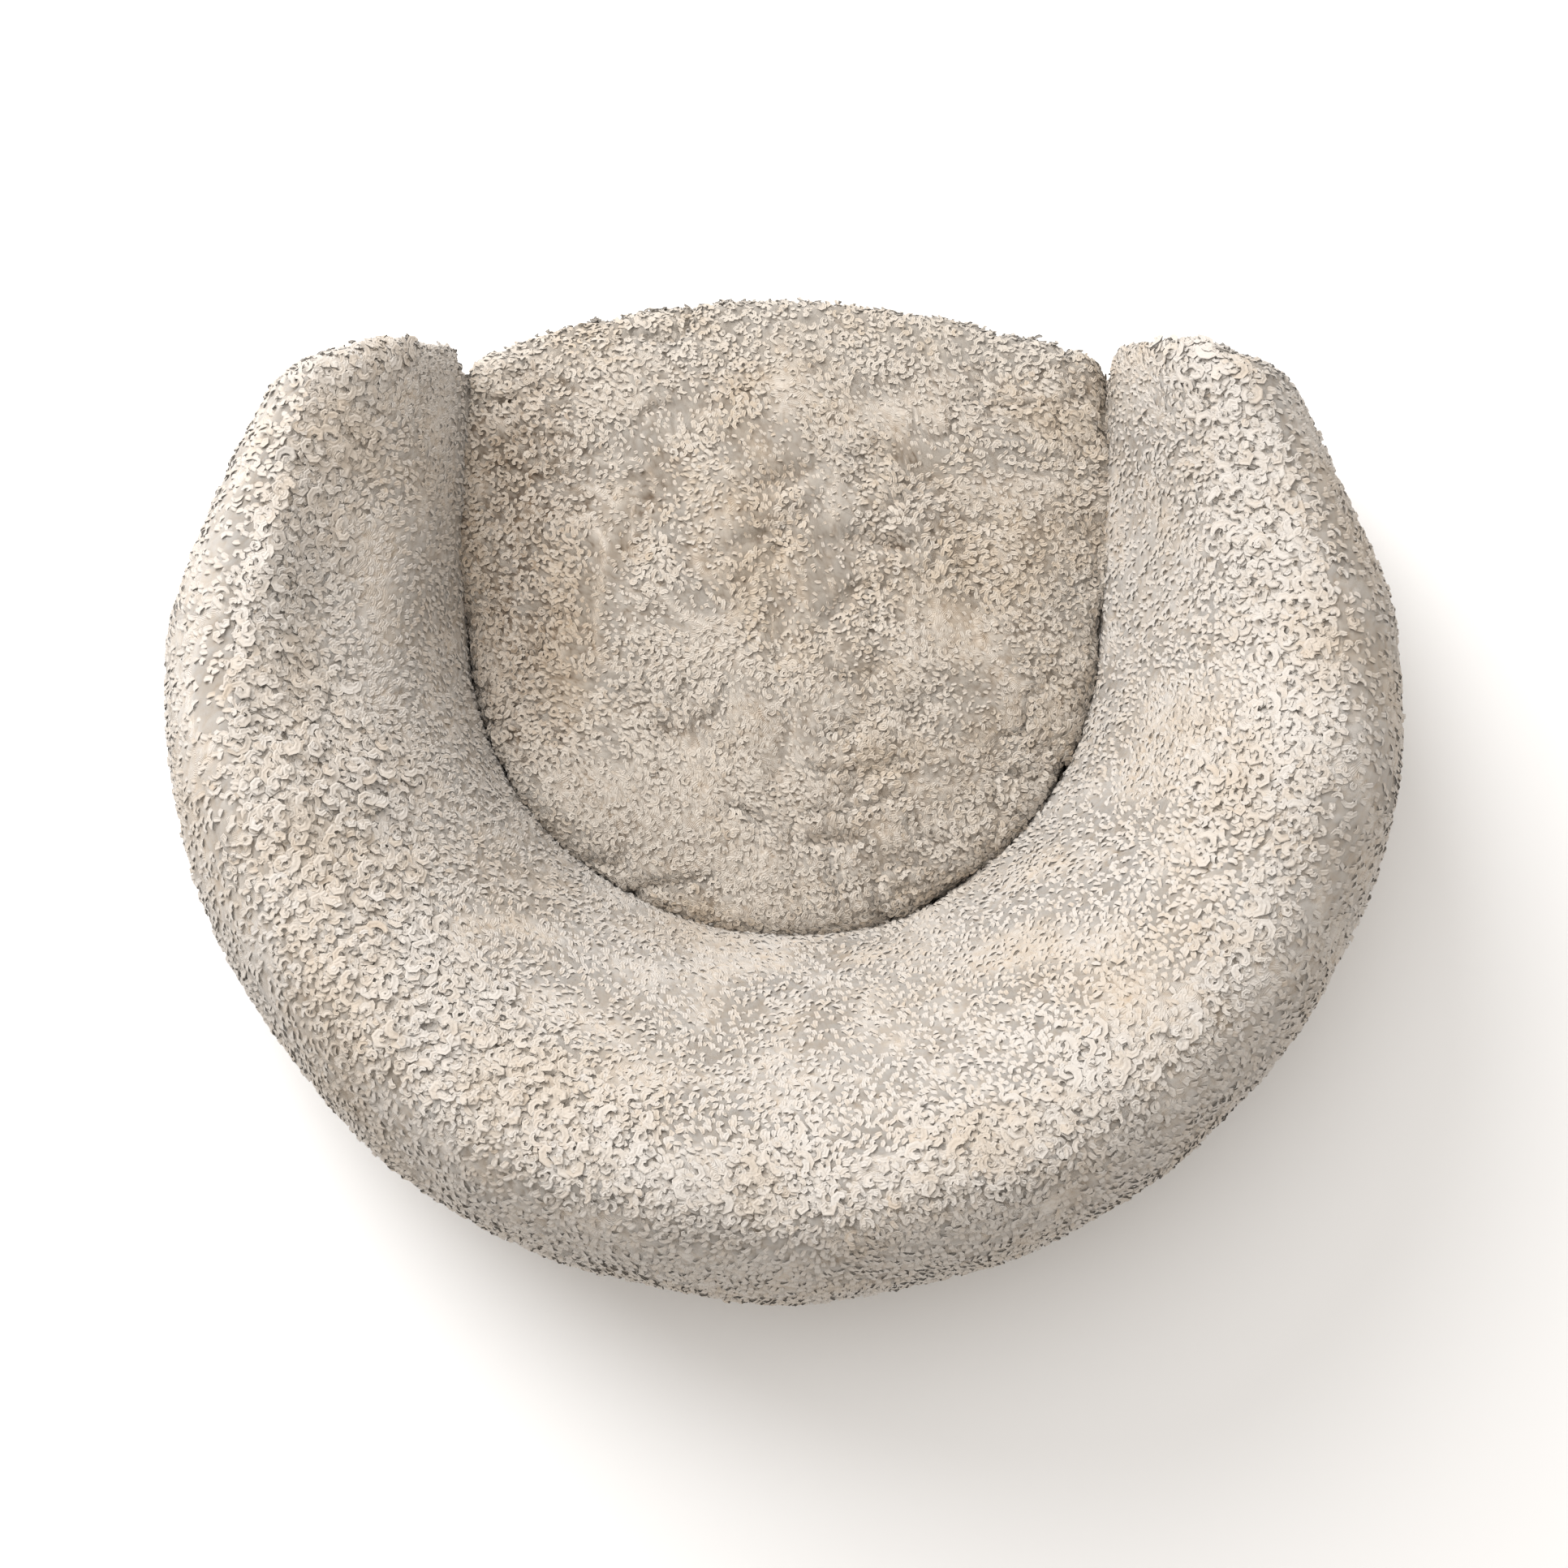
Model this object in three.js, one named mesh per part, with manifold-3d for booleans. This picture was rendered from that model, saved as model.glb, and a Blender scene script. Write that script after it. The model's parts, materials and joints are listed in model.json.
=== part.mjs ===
// A round pet bed: a C-shaped sheepskin bolster stands on a thin foam base, round a cushion that lifts out.
// Units are millimetres, +Z is up. The mouth, where the pet steps in, faces -Y, and the closed back faces +Y.
// The origin is the middle of the bed's footprint box, on the floor.

import * as THREE from "three";
import { mergeVertices } from "three/addons/utils/BufferGeometryUtils.js";
import Module from "manifold-3d";

const wasm = await Module();
wasm.setup();

// ---------------------------------------------------------------- driving dimensions

// The whole bed, seen from above: a round back, two arms that draw in towards the mouth.
const BED_WIDTH = 720;
const BED_DEPTH = 596;
const BACK_HEIGHT = 265; // top of the bolster at the back
const MOUTH_HEIGHT = 215; // top of the bolster at the arms' ends
const BACK_THICKNESS = 210; // bolster, from the well to the outside, at the back
const WELL_RADIUS = 191; // round end of the well, and half its width
const MOUTH_SETBACK = 47; // the arms' ends stand this far behind the cushion's front
const ARM_DRAW = 65.9; // an arm's outside has drawn in by this much at the mouth
const ARM_BLEND = 16; // softens the start of that taper
const END_ROUND = 30; // rounding of each arm's end, on the outside
const END_PIVOT = 14; // the end draws in towards this place, so that its inner side stays square

// The bolster's section.
const WALL_TOP = 92; // the upright inner wall becomes the sloping inner face here
const LINING_TOP = 80; // lining cloth below this, sheepskin above it
const BULGE_SHARE = 0.48; // height of the fullest part of the outside, as a share of the local height
const PLINTH_INSET = 16; // the plinth stands in from the fullest part of the outside
const PLINTH_TOP = 40;
const BACK_CREST = 0.757; // place of the crest across the section, at the back and at the mouth
const MOUTH_CREST = 0.66;
const ARM_SHARE = 0.62; // where the arms begin, from the back's middle (0) to the mouth (1)
// How full the section's curves are: the pull of their control points, from one end (0) to the other (1).
const FACE_LEAN = 0.16; // inner face: how far across, and how far up, it first heads
const FACE_RISE = 0.45;
const FACE_FULL = 0.6; // and where it levels off towards the crest
const SHOULDER_FULL = 0.62; // over the crest, across
const OUTSIDE_FULL = 0.6; // above and below the fullest part
const FOOT_FULL = 0.4; // at the plinth, across and up
const FOOT_RISE = 0.25;

// Layers, from the outside in.
const SKIN = 8; // sheepskin: leather and the body of the wool
const CLOTH = 2; // lining, border and plinth cloth
const TAPE = 1; // seam tape
const WADDING = 5.5;
const GAP = 0.3; // between neighbouring layers

// The base.
const DOT_HEIGHT = 1.2;
const DOT_RADIUS = 7;
const DOT_PITCH = 88;
const DOT_ROWS = 4; // each side of the middle row
const DOT_COLUMNS = 5;
const UNDERSIDE = 2;
const BASE_FOAM = 15;
const BASE_LINING = 1.5;
const BASE_FRONT_INSET = 12; // the base's front edge hides under the cushion's front

// The cushion.
const CUSHION_GAP = 1.5; // to the well's wall
const CUSHION_SAG = 32; // its front edge bows out by this much
const CUSHION_CORNER = 18;
const CUSHION_EDGE_TOP = 84; // the side becomes the rounded edge here
const CUSHION_SHOULDER = 101; // the rounded edge becomes the crown here
const CUSHION_CROWN = 116;
const CUSHION_ROUND = 18; // width of the rounded edge, seen from above
const CUSHION_TUCK = 3; // its foot is this much smaller than its waist
const BORDER_TOP = 62; // border cloth below this at the sides and back, sheepskin above
const FRONT_HEM = 28; // at the front the sheepskin runs down to here
const MEMORY_FOAM = 30;
const SLIDER_ROOM = 5; // from the zip's tapes up to the foam
const EDGE_SHRINK = 0.3; // how much a layer's edge lowers for each millimetre of its depth

// Touch-fastener strips that stop the cushion sliding out of the mouth.
const STRIP_LENGTH = 150;
const STRIP_WIDTH = 25;
const STRIP_THICK = 1;
const STRIP_FROM_WALL = 96; // to the strip's middle
const STRIP_FORWARD = 17; // of the well's centre

// Zips: a chain between two tapes, a slider round the chain, and a stop at each end.
const CHAIN = 2; // thickness and width of the closed chain
const ZIP_TAPE_WIDTH = 9;
const ZIP_SLOT = 12; // height of the opening in the cloth, which the slider runs in
const SLIDER_LENGTH = 11;
const SLIDER_WIDTH = 9;
const SLIDER_PLATE = 1.3;
const SLIDER_POST = 0.6;
const STOP_LENGTH = 3;
const PLINTH_ZIP_ANGLE = 60; // degrees each side of the back's middle
const PLINTH_ZIP_DROP = 16; // from the plinth's top to the chain
const CUSHION_ZIP_MARGIN = 51; // from each end of the zip to the line of the well's wall
const CUSHION_ZIP_BACK = 83; // behind the well's centre
const SLIDER_TAIL = 0.72; // width of the slider's tail, as a share of its nose
const SLIDER_SHOULDER = 0.3; // where its round nose begins, from its middle
const PULL_LENGTH = 20;
const PULL_WIDTH = 7;
const PULL_THICK = 1.4;
const PULL_BARREL = 2.1; // radius of the pull's eye, outside
const PULL_HOLE = 0.45; // radius of the hole near its tip, as a share of half its width
const BAIL_REACH = 3.2; // the slider's bail stands this far off its front plate
const BAIL_BAR = 1.2;
const BAIL_SPAN = 5; // clear length of the bail's bar

// How finely the solids are cut.
const BACK_STEPS = 18;
const ARM_STEPS = 3;
const END_STEPS = 3;
const FACE_STEPS = 6;
const ARC_STEP = 3; // degrees, for the plinth and its zip
const CUSHION_CORNER_STEPS = 3;
const CUSHION_CORNER_TURN = 80; // degrees
const CUSHION_ARC_STEPS = 18;
const CUSHION_FRONT_STEPS = 8;
const CUSHION_EDGE_STEPS = 3;
const CROWN_RINGS = [0.7, 0.35]; // shares of the way from the crown's middle to its edge

// ---------------------------------------------------------------- derived values

const OUTER_RADIUS = BED_WIDTH / 2;
const OUTER_CENTRE_Y = BED_DEPTH / 2 - OUTER_RADIUS;
const WELL_CENTRE_Y = BED_DEPTH / 2 - BACK_THICKNESS - WELL_RADIUS;
const RAY_CENTRE_Y = (OUTER_CENTRE_Y + WELL_CENTRE_Y) / 2;
const ARM_END_Y = -BED_DEPTH / 2 + MOUTH_SETBACK;
const PLINTH_RADIUS = OUTER_RADIUS - PLINTH_INSET;
const ARM_TAPER = ARM_DRAW / (Math.hypot(RAY_CENTRE_Y - ARM_END_Y, ARM_BLEND) - ARM_BLEND);
const STRIP_X = WELL_RADIUS - STRIP_FROM_WALL;
const STRIP_Y = WELL_CENTRE_Y - STRIP_FORWARD;

const UNDERSIDE_TOP = DOT_HEIGHT + UNDERSIDE;
const BASE_FOAM_Z = UNDERSIDE_TOP + GAP;
const BASE_LINING_Z = BASE_FOAM_Z + BASE_FOAM + GAP;
const FLOOR = BASE_LINING_Z + BASE_LINING + GAP; // what stands on the base starts here
const HOOK_Z = FLOOR;
const LOOP_Z = HOOK_Z + STRIP_THICK + GAP;
const CUSHION_Z = LOOP_Z + STRIP_THICK + GAP;
const CUSHION_ZIP_Z = CUSHION_Z + CLOTH + GAP + TAPE / 2;
const CUSHION_FOAM_Z = CUSHION_ZIP_Z + SLIDER_ROOM;

const TAPE_DEPTH = SKIN + GAP;
const WADDING_DEPTH = TAPE_DEPTH + TAPE + GAP;
const FOAM_DEPTH = WADDING_DEPTH + WADDING + GAP;
const TAPE_EDGE = CHAIN / 2 + SLIDER_POST + 2 * GAP; // from a chain's middle to its tapes
const PLINTH_CLEAR = 10; // room behind the plinth for the zip's slider

const PLINTH_ZIP_Z = PLINTH_TOP - PLINTH_ZIP_DROP;
const CUSHION_ZIP_HALF = WELL_RADIUS - CUSHION_ZIP_MARGIN;
const CUSHION_ZIP_Y = WELL_CENTRE_Y + CUSHION_ZIP_BACK;
const SLIDER_HEIGHT = CHAIN + 2 * (SLIDER_PLATE + GAP);
const ZIP_PLAN_RADIUS = PLINTH_RADIUS - CLOTH - GAP - TAPE / 2; // middle of the plinth zip's tapes and chain
const ZIP_END_ANGLE = (STOP_LENGTH / ZIP_PLAN_RADIUS) * THREE.MathUtils.RAD2DEG;
const SLIDER_HALF_ANGLE = ((SLIDER_LENGTH / 2 + 2 * GAP) / ZIP_PLAN_RADIUS) * THREE.MathUtils.RAD2DEG;
const SLIDER_REST_ANGLE = PLINTH_ZIP_ANGLE - ZIP_END_ANGLE - SLIDER_HALF_ANGLE;

// ---------------------------------------------------------------- small helpers

const radians = THREE.MathUtils.degToRad;
const mix = THREE.MathUtils.lerp;
const group = new THREE.Group();

const SHEEPSKIN = { color: 0xd8cfc4, roughness: 0.95, metalness: 0 };
const SEAT_SHEEPSKIN = { color: 0xc4b7a8, roughness: 0.95, metalness: 0 };
const CANVAS = { color: 0xb5a997, roughness: 0.9, metalness: 0 };
const LINING_CLOTH = { color: 0xcfc6b8, roughness: 0.9, metalness: 0 };
const FOAM = { color: 0xe9e2c8, roughness: 0.95, metalness: 0 };
const SOFT_FOAM = { color: 0xf0ead6, roughness: 0.9, metalness: 0 };
const WADDING_WHITE = { color: 0xf2f1ec, roughness: 1, metalness: 0 };
const GRIP_CLOTH = { color: 0x6d665c, roughness: 0.9, metalness: 0 };
const ZIP_TAPE = { color: 0xa89c8a, roughness: 0.85, metalness: 0 };
const ZIP_METAL = { color: 0x9c9282, roughness: 0.35, metalness: 1 };
const FASTENER = { color: 0x8c8272, roughness: 0.9, metalness: 0 };

function add(name, geometry, finish) {
  const mesh = new THREE.Mesh(geometry, new THREE.MeshStandardMaterial(finish));
  mesh.name = name;
  group.add(mesh);
  return mesh;
}

function signedVolume(points, triangles) {
  let six = 0;
  for (let i = 0; i < triangles.length; i += 3) {
    const [a, b, c] = [0, 1, 2].map((k) => points[triangles[i + k]]);
    six += a.dot(new THREE.Vector3().crossVectors(b, c));
  }
  return six / 6;
}

// A geometry from points and triangles, turned so that its faces point out.
function solid(points, triangles) {
  const order = signedVolume(points, triangles) < 0 ? [...triangles].reverse() : triangles;
  const geometry = new THREE.BufferGeometry().setFromPoints(points);
  geometry.setIndex(order);
  return geometry;
}

function quad(triangles, a, b, c, d) {
  triangles.push(a, b, c, a, c, d);
}

// A curved sheet with a thickness: two grids of points, face and back, joined along all four edges.
function sheet(face, back) {
  const rows = face.length;
  const columns = face[0].length;
  const triangles = [];
  const front = (i, j) => i * columns + j;
  const rear = (i, j) => rows * columns + i * columns + j;
  for (let i = 0; i < rows - 1; i++) {
    for (let j = 0; j < columns - 1; j++) {
      quad(triangles, front(i, j), front(i + 1, j), front(i + 1, j + 1), front(i, j + 1));
      quad(triangles, rear(i, j), rear(i, j + 1), rear(i + 1, j + 1), rear(i + 1, j));
    }
    const last = columns - 1;
    quad(triangles, front(i, 0), rear(i, 0), rear(i + 1, 0), front(i + 1, 0));
    quad(triangles, front(i, last), front(i + 1, last), rear(i + 1, last), rear(i, last));
  }
  for (let j = 0; j < columns - 1; j++) {
    const end = rows - 1;
    quad(triangles, front(0, j), front(0, j + 1), rear(0, j + 1), rear(0, j));
    quad(triangles, front(end, j), rear(end, j), rear(end, j + 1), front(end, j + 1));
  }
  return solid([...face.flat(), ...back.flat()], triangles);
}

function ringWalls(triangles, lower, upper, count) {
  for (let j = 0; j < count; j++) {
    const k = (j + 1) % count;
    quad(triangles, lower + j, lower + k, upper + k, upper + j);
  }
}

// A solid through closed rings of points, with a flat fan over each end.
function loft(rings) {
  const count = rings[0].length;
  const points = rings.flat();
  const triangles = [];
  rings.slice(1).forEach((_, i) => ringWalls(triangles, i * count, (i + 1) * count, count));
  const ends = [rings[0], rings[rings.length - 1]];
  ends.forEach((ring, end) => {
    const middle = points.length;
    const first = end ? (rings.length - 1) * count : 0;
    points.push(ring.reduce((sum, p) => sum.add(p), new THREE.Vector3()).divideScalar(count));
    for (let j = 0; j < count; j++) {
      const pair = [first + j, first + ((j + 1) % count)];
      triangles.push(middle, ...(end ? pair : pair.reverse()));
    }
  });
  return solid(points, triangles);
}

// A bowl turned upside down: closed rings that end in a middle point, outside and inside.
// The two are joined along the rim.
function cap(outside, inside) {
  const count = outside.rings[0].length;
  const points = [];
  const triangles = [];
  const rims = [outside, inside].map(({ rings, middle }, side) => {
    const start = points.length;
    points.push(...rings.flat(), middle);
    const top = points.length - 1;
    const faces = [];
    rings.slice(1).forEach((_, i) => ringWalls(faces, start + i * count, start + (i + 1) * count, count));
    const last = start + (rings.length - 1) * count;
    for (let j = 0; j < count; j++) faces.push(top, last + j, last + ((j + 1) % count));
    triangles.push(...(side ? faces.reverse() : faces));
    return start;
  });
  ringWalls(triangles, rims[1], rims[0], count);
  return solid(points, triangles);
}

// A point on an arc about the plinth's centre; angles are from +Y towards +X.
function onArc(radius, degrees, z = 0) {
  const angle = radians(degrees);
  return new THREE.Vector3(radius * Math.sin(angle), OUTER_CENTRE_Y + radius * Math.cos(angle), z);
}

// Part of an upright ring about the plinth's centre.
function arcBand(inner, outer, low, high, from, to) {
  const steps = Math.max(1, Math.round((to - from) / ARC_STEP));
  const rings = [];
  for (let i = 0; i <= steps; i++) {
    const turn = mix(from, to, i / steps);
    const corners = [[inner, low], [outer, low], [outer, high], [inner, high]];
    rings.push(corners.map(([radius, z]) => onArc(radius, turn, z)));
  }
  return loft(rings);
}

// A closed band: rings of four points, each joined to the next all the way round.
function hoop(rings) {
  const count = rings[0].length;
  const triangles = [];
  rings.forEach((_, i) => ringWalls(triangles, i * count, ((i + 1) % rings.length) * count, count));
  return solid(rings.flat(), triangles);
}

function box(x, y, z, centreX, centreY, lowZ) {
  return new THREE.BoxGeometry(x, y, z).translate(centreX, centreY, lowZ + z / 2);
}

// manifold-3d joins and cuts.
function toManifold(geometry) {
  const plain = geometry.clone();
  plain.deleteAttribute("normal");
  plain.deleteAttribute("uv");
  const merged = mergeVertices(plain, 1e-3);
  return new wasm.Manifold(
    new wasm.Mesh({
      numProp: 3,
      vertProperties: merged.attributes.position.array,
      triVerts: new Uint32Array(merged.index.array),
    }),
  );
}

function fromManifold(shape) {
  const mesh = shape.getMesh();
  const geometry = new THREE.BufferGeometry();
  geometry.setAttribute("position", new THREE.BufferAttribute(mesh.vertProperties, 3));
  geometry.setIndex(new THREE.BufferAttribute(mesh.triVerts, 1));
  return geometry;
}

function combine(operation, first, ...others) {
  return fromManifold(others.reduce((shape, g) => shape[operation](toManifold(g)), toManifold(first)));
}

const cut = (geometry, ...tools) => combine("subtract", geometry, ...tools);
const join = (geometry, ...pieces) => combine("add", geometry, ...pieces);

// ---------------------------------------------------------------- the bolster's form

// From the ray centre to a circle centred on the Y axis, along a ray at an angle from +Y.
function reach(angle, radius, centreY) {
  const shift = centreY - RAY_CENTRE_Y;
  const along = Math.cos(angle) * shift;
  return along + Math.sqrt(radius ** 2 - shift ** 2 + along ** 2);
}

function wellHalfWidth(y) {
  const past = Math.max(0, y - WELL_CENTRE_Y);
  return Math.sqrt(WELL_RADIUS ** 2 - past ** 2);
}

function armHalfWidth(y, inset = 0) {
  const along = RAY_CENTRE_Y - y;
  const drawn = ARM_TAPER * (Math.hypot(along, ARM_BLEND) - ARM_BLEND);
  return reach(Math.PI / 2, OUTER_RADIUS - inset, OUTER_CENTRE_Y) - drawn;
}

// Stations along the C from the +X arm's end, round the back, to the -X arm's end, for a layer at a depth.
// A station knows its section's two ends, its share of the way from the back (0) to the mouth (1),
// and how far it shrinks.
function stations(depth) {
  const run = END_ROUND - depth;
  const arm = [];
  for (let i = END_STEPS; i > 0; i--) {
    const turn = radians((90 * i) / END_STEPS);
    arm.push({ y: ARM_END_Y + END_ROUND - run * Math.sin(turn), shrink: run * (1 - Math.cos(turn)) });
  }
  for (let i = 0; i < ARM_STEPS; i++)
    arm.push({ y: mix(ARM_END_Y + END_ROUND, RAY_CENTRE_Y, i / ARM_STEPS), shrink: 0 });
  const armStation = (side) => (p) => ({
    ...p,
    origin: new THREE.Vector2(0, p.y),
    way: new THREE.Vector2(side, 0),
    inner: wellHalfWidth(p.y),
    outer: armHalfWidth(p.y),
    plinth: armHalfWidth(p.y, PLINTH_INSET),
    share: mix(ARM_SHARE, 1, (RAY_CENTRE_Y - p.y) / (RAY_CENTRE_Y - ARM_END_Y)),
  });
  const list = arm.map(armStation(1));
  for (let i = 0; i <= BACK_STEPS; i++) {
    const angle = radians(mix(90, -90, i / BACK_STEPS));
    list.push({
      shrink: 0,
      origin: new THREE.Vector2(0, RAY_CENTRE_Y),
      way: new THREE.Vector2(Math.sin(angle), Math.cos(angle)),
      inner: reach(angle, WELL_RADIUS, WELL_CENTRE_Y),
      outer: reach(angle, OUTER_RADIUS, OUTER_CENTRE_Y),
      plinth: reach(angle, PLINTH_RADIUS, OUTER_CENTRE_Y),
      share: (ARM_SHARE * Math.abs(angle)) / (Math.PI / 2),
    });
  }
  return [...list, ...arm.map(armStation(-1)).reverse()];
}

function crestHeight(share) {
  return mix(MOUTH_HEIGHT, BACK_HEIGHT, 0.5 + 0.5 * Math.cos(Math.PI * share));
}

// Points of one stretch of the section, as (distance across from the well, height).
function stretchOf(station, stretch) {
  const width = station.outer - station.inner;
  const foot = station.plinth - station.inner;
  const high = crestHeight(station.share);
  const crest = width * mix(MOUTH_CREST, BACK_CREST, Math.cos((Math.PI / 2) * station.share) ** 2);
  const bulge = high * BULGE_SHARE;
  const at = (q, z) => new THREE.Vector2(q, z);
  if (stretch === "lining") return [at(0, FLOOR), at(0, LINING_TOP)];
  if (stretch === "inner") {
    const rise = high - WALL_TOP;
    const face = new THREE.CubicBezierCurve(
      at(0, WALL_TOP),
      at(FACE_LEAN * crest, WALL_TOP + FACE_RISE * rise),
      at(FACE_FULL * crest, high),
      at(crest, high),
    );
    return [at(0, LINING_TOP + GAP), ...face.getPoints(FACE_STEPS)];
  }
  const shoulder = new THREE.CubicBezierCurve(
    at(crest, high),
    at(mix(crest, width, SHOULDER_FULL), high),
    at(width, mix(bulge, high, OUTSIDE_FULL)),
    at(width, bulge),
  );
  const flank = new THREE.CubicBezierCurve(
    at(width, bulge),
    at(width, mix(PLINTH_TOP, bulge, OUTSIDE_FULL)),
    at(mix(foot, width, FOOT_FULL), mix(PLINTH_TOP, bulge, FOOT_RISE)),
    at(foot, PLINTH_TOP + GAP),
  );
  return [...shoulder.getPoints(FACE_STEPS - 1), ...flank.getPoints(FACE_STEPS - 3).slice(1)];
}

// Moves a line of points to its right-hand side (the inside of the bolster) by a depth.
function inward(points, depth) {
  return points.map((p, i) => {
    const before = points[Math.max(0, i - 1)];
    const after = points[Math.min(points.length - 1, i + 1)];
    const along = new THREE.Vector2().subVectors(after, before).normalize();
    return new THREE.Vector2(p.x + along.y * depth, p.y - along.x * depth);
  });
}

// Puts a point of a section into the bed. Towards an arm's end the section narrows from the outside,
// and what stands above the plinth gets lower.
function place(station, across, height) {
  const narrow = 1 - station.shrink / (station.outer - station.inner - END_PIVOT);
  const low = 1 - station.shrink / (crestHeight(station.share) - PLINTH_TOP);
  const distance = station.inner + END_PIVOT + (across - END_PIVOT) * narrow;
  const flat = station.origin.clone().addScaledVector(station.way, distance);
  const above = Math.max(0, height - PLINTH_TOP);
  return new THREE.Vector3(flat.x, flat.y, height - above * (1 - low));
}

// The whole sheepskin line of a section: up the inner face to the crest, then down the outside to the plinth.
function skinPath(station) {
  return [...stretchOf(station, "inner"), ...stretchOf(station, "outer").slice(1)];
}

const CREST = FACE_STEPS + 1; // the crest's place in that line

function skinGrid(depth, first = 0, last = Infinity) {
  return stations(depth).map((station) =>
    inward(skinPath(station), depth)
      .map((p) => place(station, p.x, p.y))
      .slice(first, last),
  );
}

function liningGrid(depth) {
  return stations(depth).map((station) =>
    inward(stretchOf(station, "lining"), depth).map((p) => place(station, p.x, p.y)),
  );
}

// A closed ring round the section at a depth, flat underneath, for the foam.
function foamRing(station, depth) {
  const path = inward(skinPath(station), depth);
  const last = path[path.length - 1];
  const feet = [new THREE.Vector2(depth, FLOOR + GAP), new THREE.Vector2(last.x, FLOOR + GAP)];
  return [feet[0], ...path, feet[1]].map((p) => place(station, p.x, p.y));
}

// ---------------------------------------------------------------- bolster pieces

// Moves the start of a line of points by a gap, so that two panels meet at a seam without touching.
function openSeam(line) {
  const step = new THREE.Vector3().subVectors(line[1], line[0]).setLength(GAP);
  return [line[0].clone().add(step), ...line.slice(1)];
}

function addBolster() {
  const inner = (depth) => skinGrid(depth, 0, CREST + 1);
  const outer = (depth) => skinGrid(depth, CREST).map(openSeam);
  add("bolster_inner_panel", sheet(inner(0), inner(SKIN)), SHEEPSKIN);
  add("bolster_outer_panel", sheet(outer(0), outer(SKIN)), SHEEPSKIN);
  add("well_lining", sheet(liningGrid(0), liningGrid(CLOTH)), LINING_CLOTH);
  const seam = (depth) => skinGrid(depth, CREST - 1, CREST + 2);
  add("crest_seam_tape", sheet(seam(TAPE_DEPTH), seam(TAPE_DEPTH + TAPE)), CANVAS);
  const [outside, inside] = [WADDING_DEPTH, WADDING_DEPTH + WADDING].map((depth) => skinGrid(depth));
  add("bolster_wadding", sheet(outside, inside), WADDING_WHITE);
}

// The bolster's foam is cut in three blocks that butt together: two arms and the back.
function addBolsterFoam() {
  const rings = stations(FOAM_DEPTH).map((station) => foamRing(station, FOAM_DEPTH));
  const cutAt = END_STEPS + ARM_STEPS + 3;
  const last = rings.length - 1;
  const trimmed = (block) => {
    const [first, second] = block;
    block[0] = first.map((p, i) => p.clone().lerp(second[i], (2 * GAP) / p.distanceTo(second[i])));
    return block;
  };
  add("bolster_foam_right", loft(rings.slice(0, cutAt + 1)), FOAM);
  add("bolster_foam_back", loft(trimmed(rings.slice(cutAt, last - cutAt + 1))), FOAM);
  add("bolster_foam_left", loft(trimmed(rings.slice(last - cutAt))), FOAM);
}

// A panel closes each arm's end, inside the ring that the rounded end leaves open.
// It stops short of the lining.
function armFacing(end, depth) {
  const station = stations(depth).at(end);
  const path = inward(skinPath(station), depth);
  const foot = path[path.length - 1].x - 4 * GAP;
  const behindLining = CLOTH + 3 * GAP;
  const corners = [
    new THREE.Vector2(foot, PLINTH_TOP + GAP),
    new THREE.Vector2(behindLining, PLINTH_TOP + GAP),
    new THREE.Vector2(behindLining, LINING_TOP - SKIN),
  ];
  const ring = [...path, ...corners].map((p) => place(station, p.x, p.y));
  const middle = ring.reduce((sum, p) => sum.add(p), new THREE.Vector3()).divideScalar(ring.length);
  const drawnIn = (p) => p.clone().lerp(middle, (3 * GAP) / p.distanceTo(middle));
  return ring.map((p) => drawnIn(p).setY(ARM_END_Y + depth));
}

function addArmFacings() {
  for (const [side, end] of [["right", 0], ["left", -1]])
    add("arm_facing_" + side, loft([armFacing(end, 0), armFacing(end, SKIN)]), SHEEPSKIN);
}

// ---------------------------------------------------------------- base

// The base's outline: the plinth's line round the back and along the arms, then the bowed front edge.
function baseShape(inset) {
  const plinth = stations(0).map((s) => place(s, s.plinth - s.inner - inset, FLOOR));
  const outline = plinth.map((p) => new THREE.Vector2(p.x, Math.max(p.y, ARM_END_Y + inset)));
  const shape = new THREE.Shape(outline);
  const front = -BED_DEPTH / 2 + BASE_FRONT_INSET + inset;
  const side = WELL_RADIUS;
  shape.lineTo(-side, ARM_END_Y + inset);
  shape.quadraticCurveTo(0, 2 * front - (ARM_END_Y + inset), side, ARM_END_Y + inset);
  return shape;
}

function plate(shape, low, thick) {
  const settings = { depth: thick, bevelEnabled: false, curveSegments: 12 };
  return new THREE.ExtrudeGeometry(shape, settings).translate(0, 0, low);
}

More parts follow.
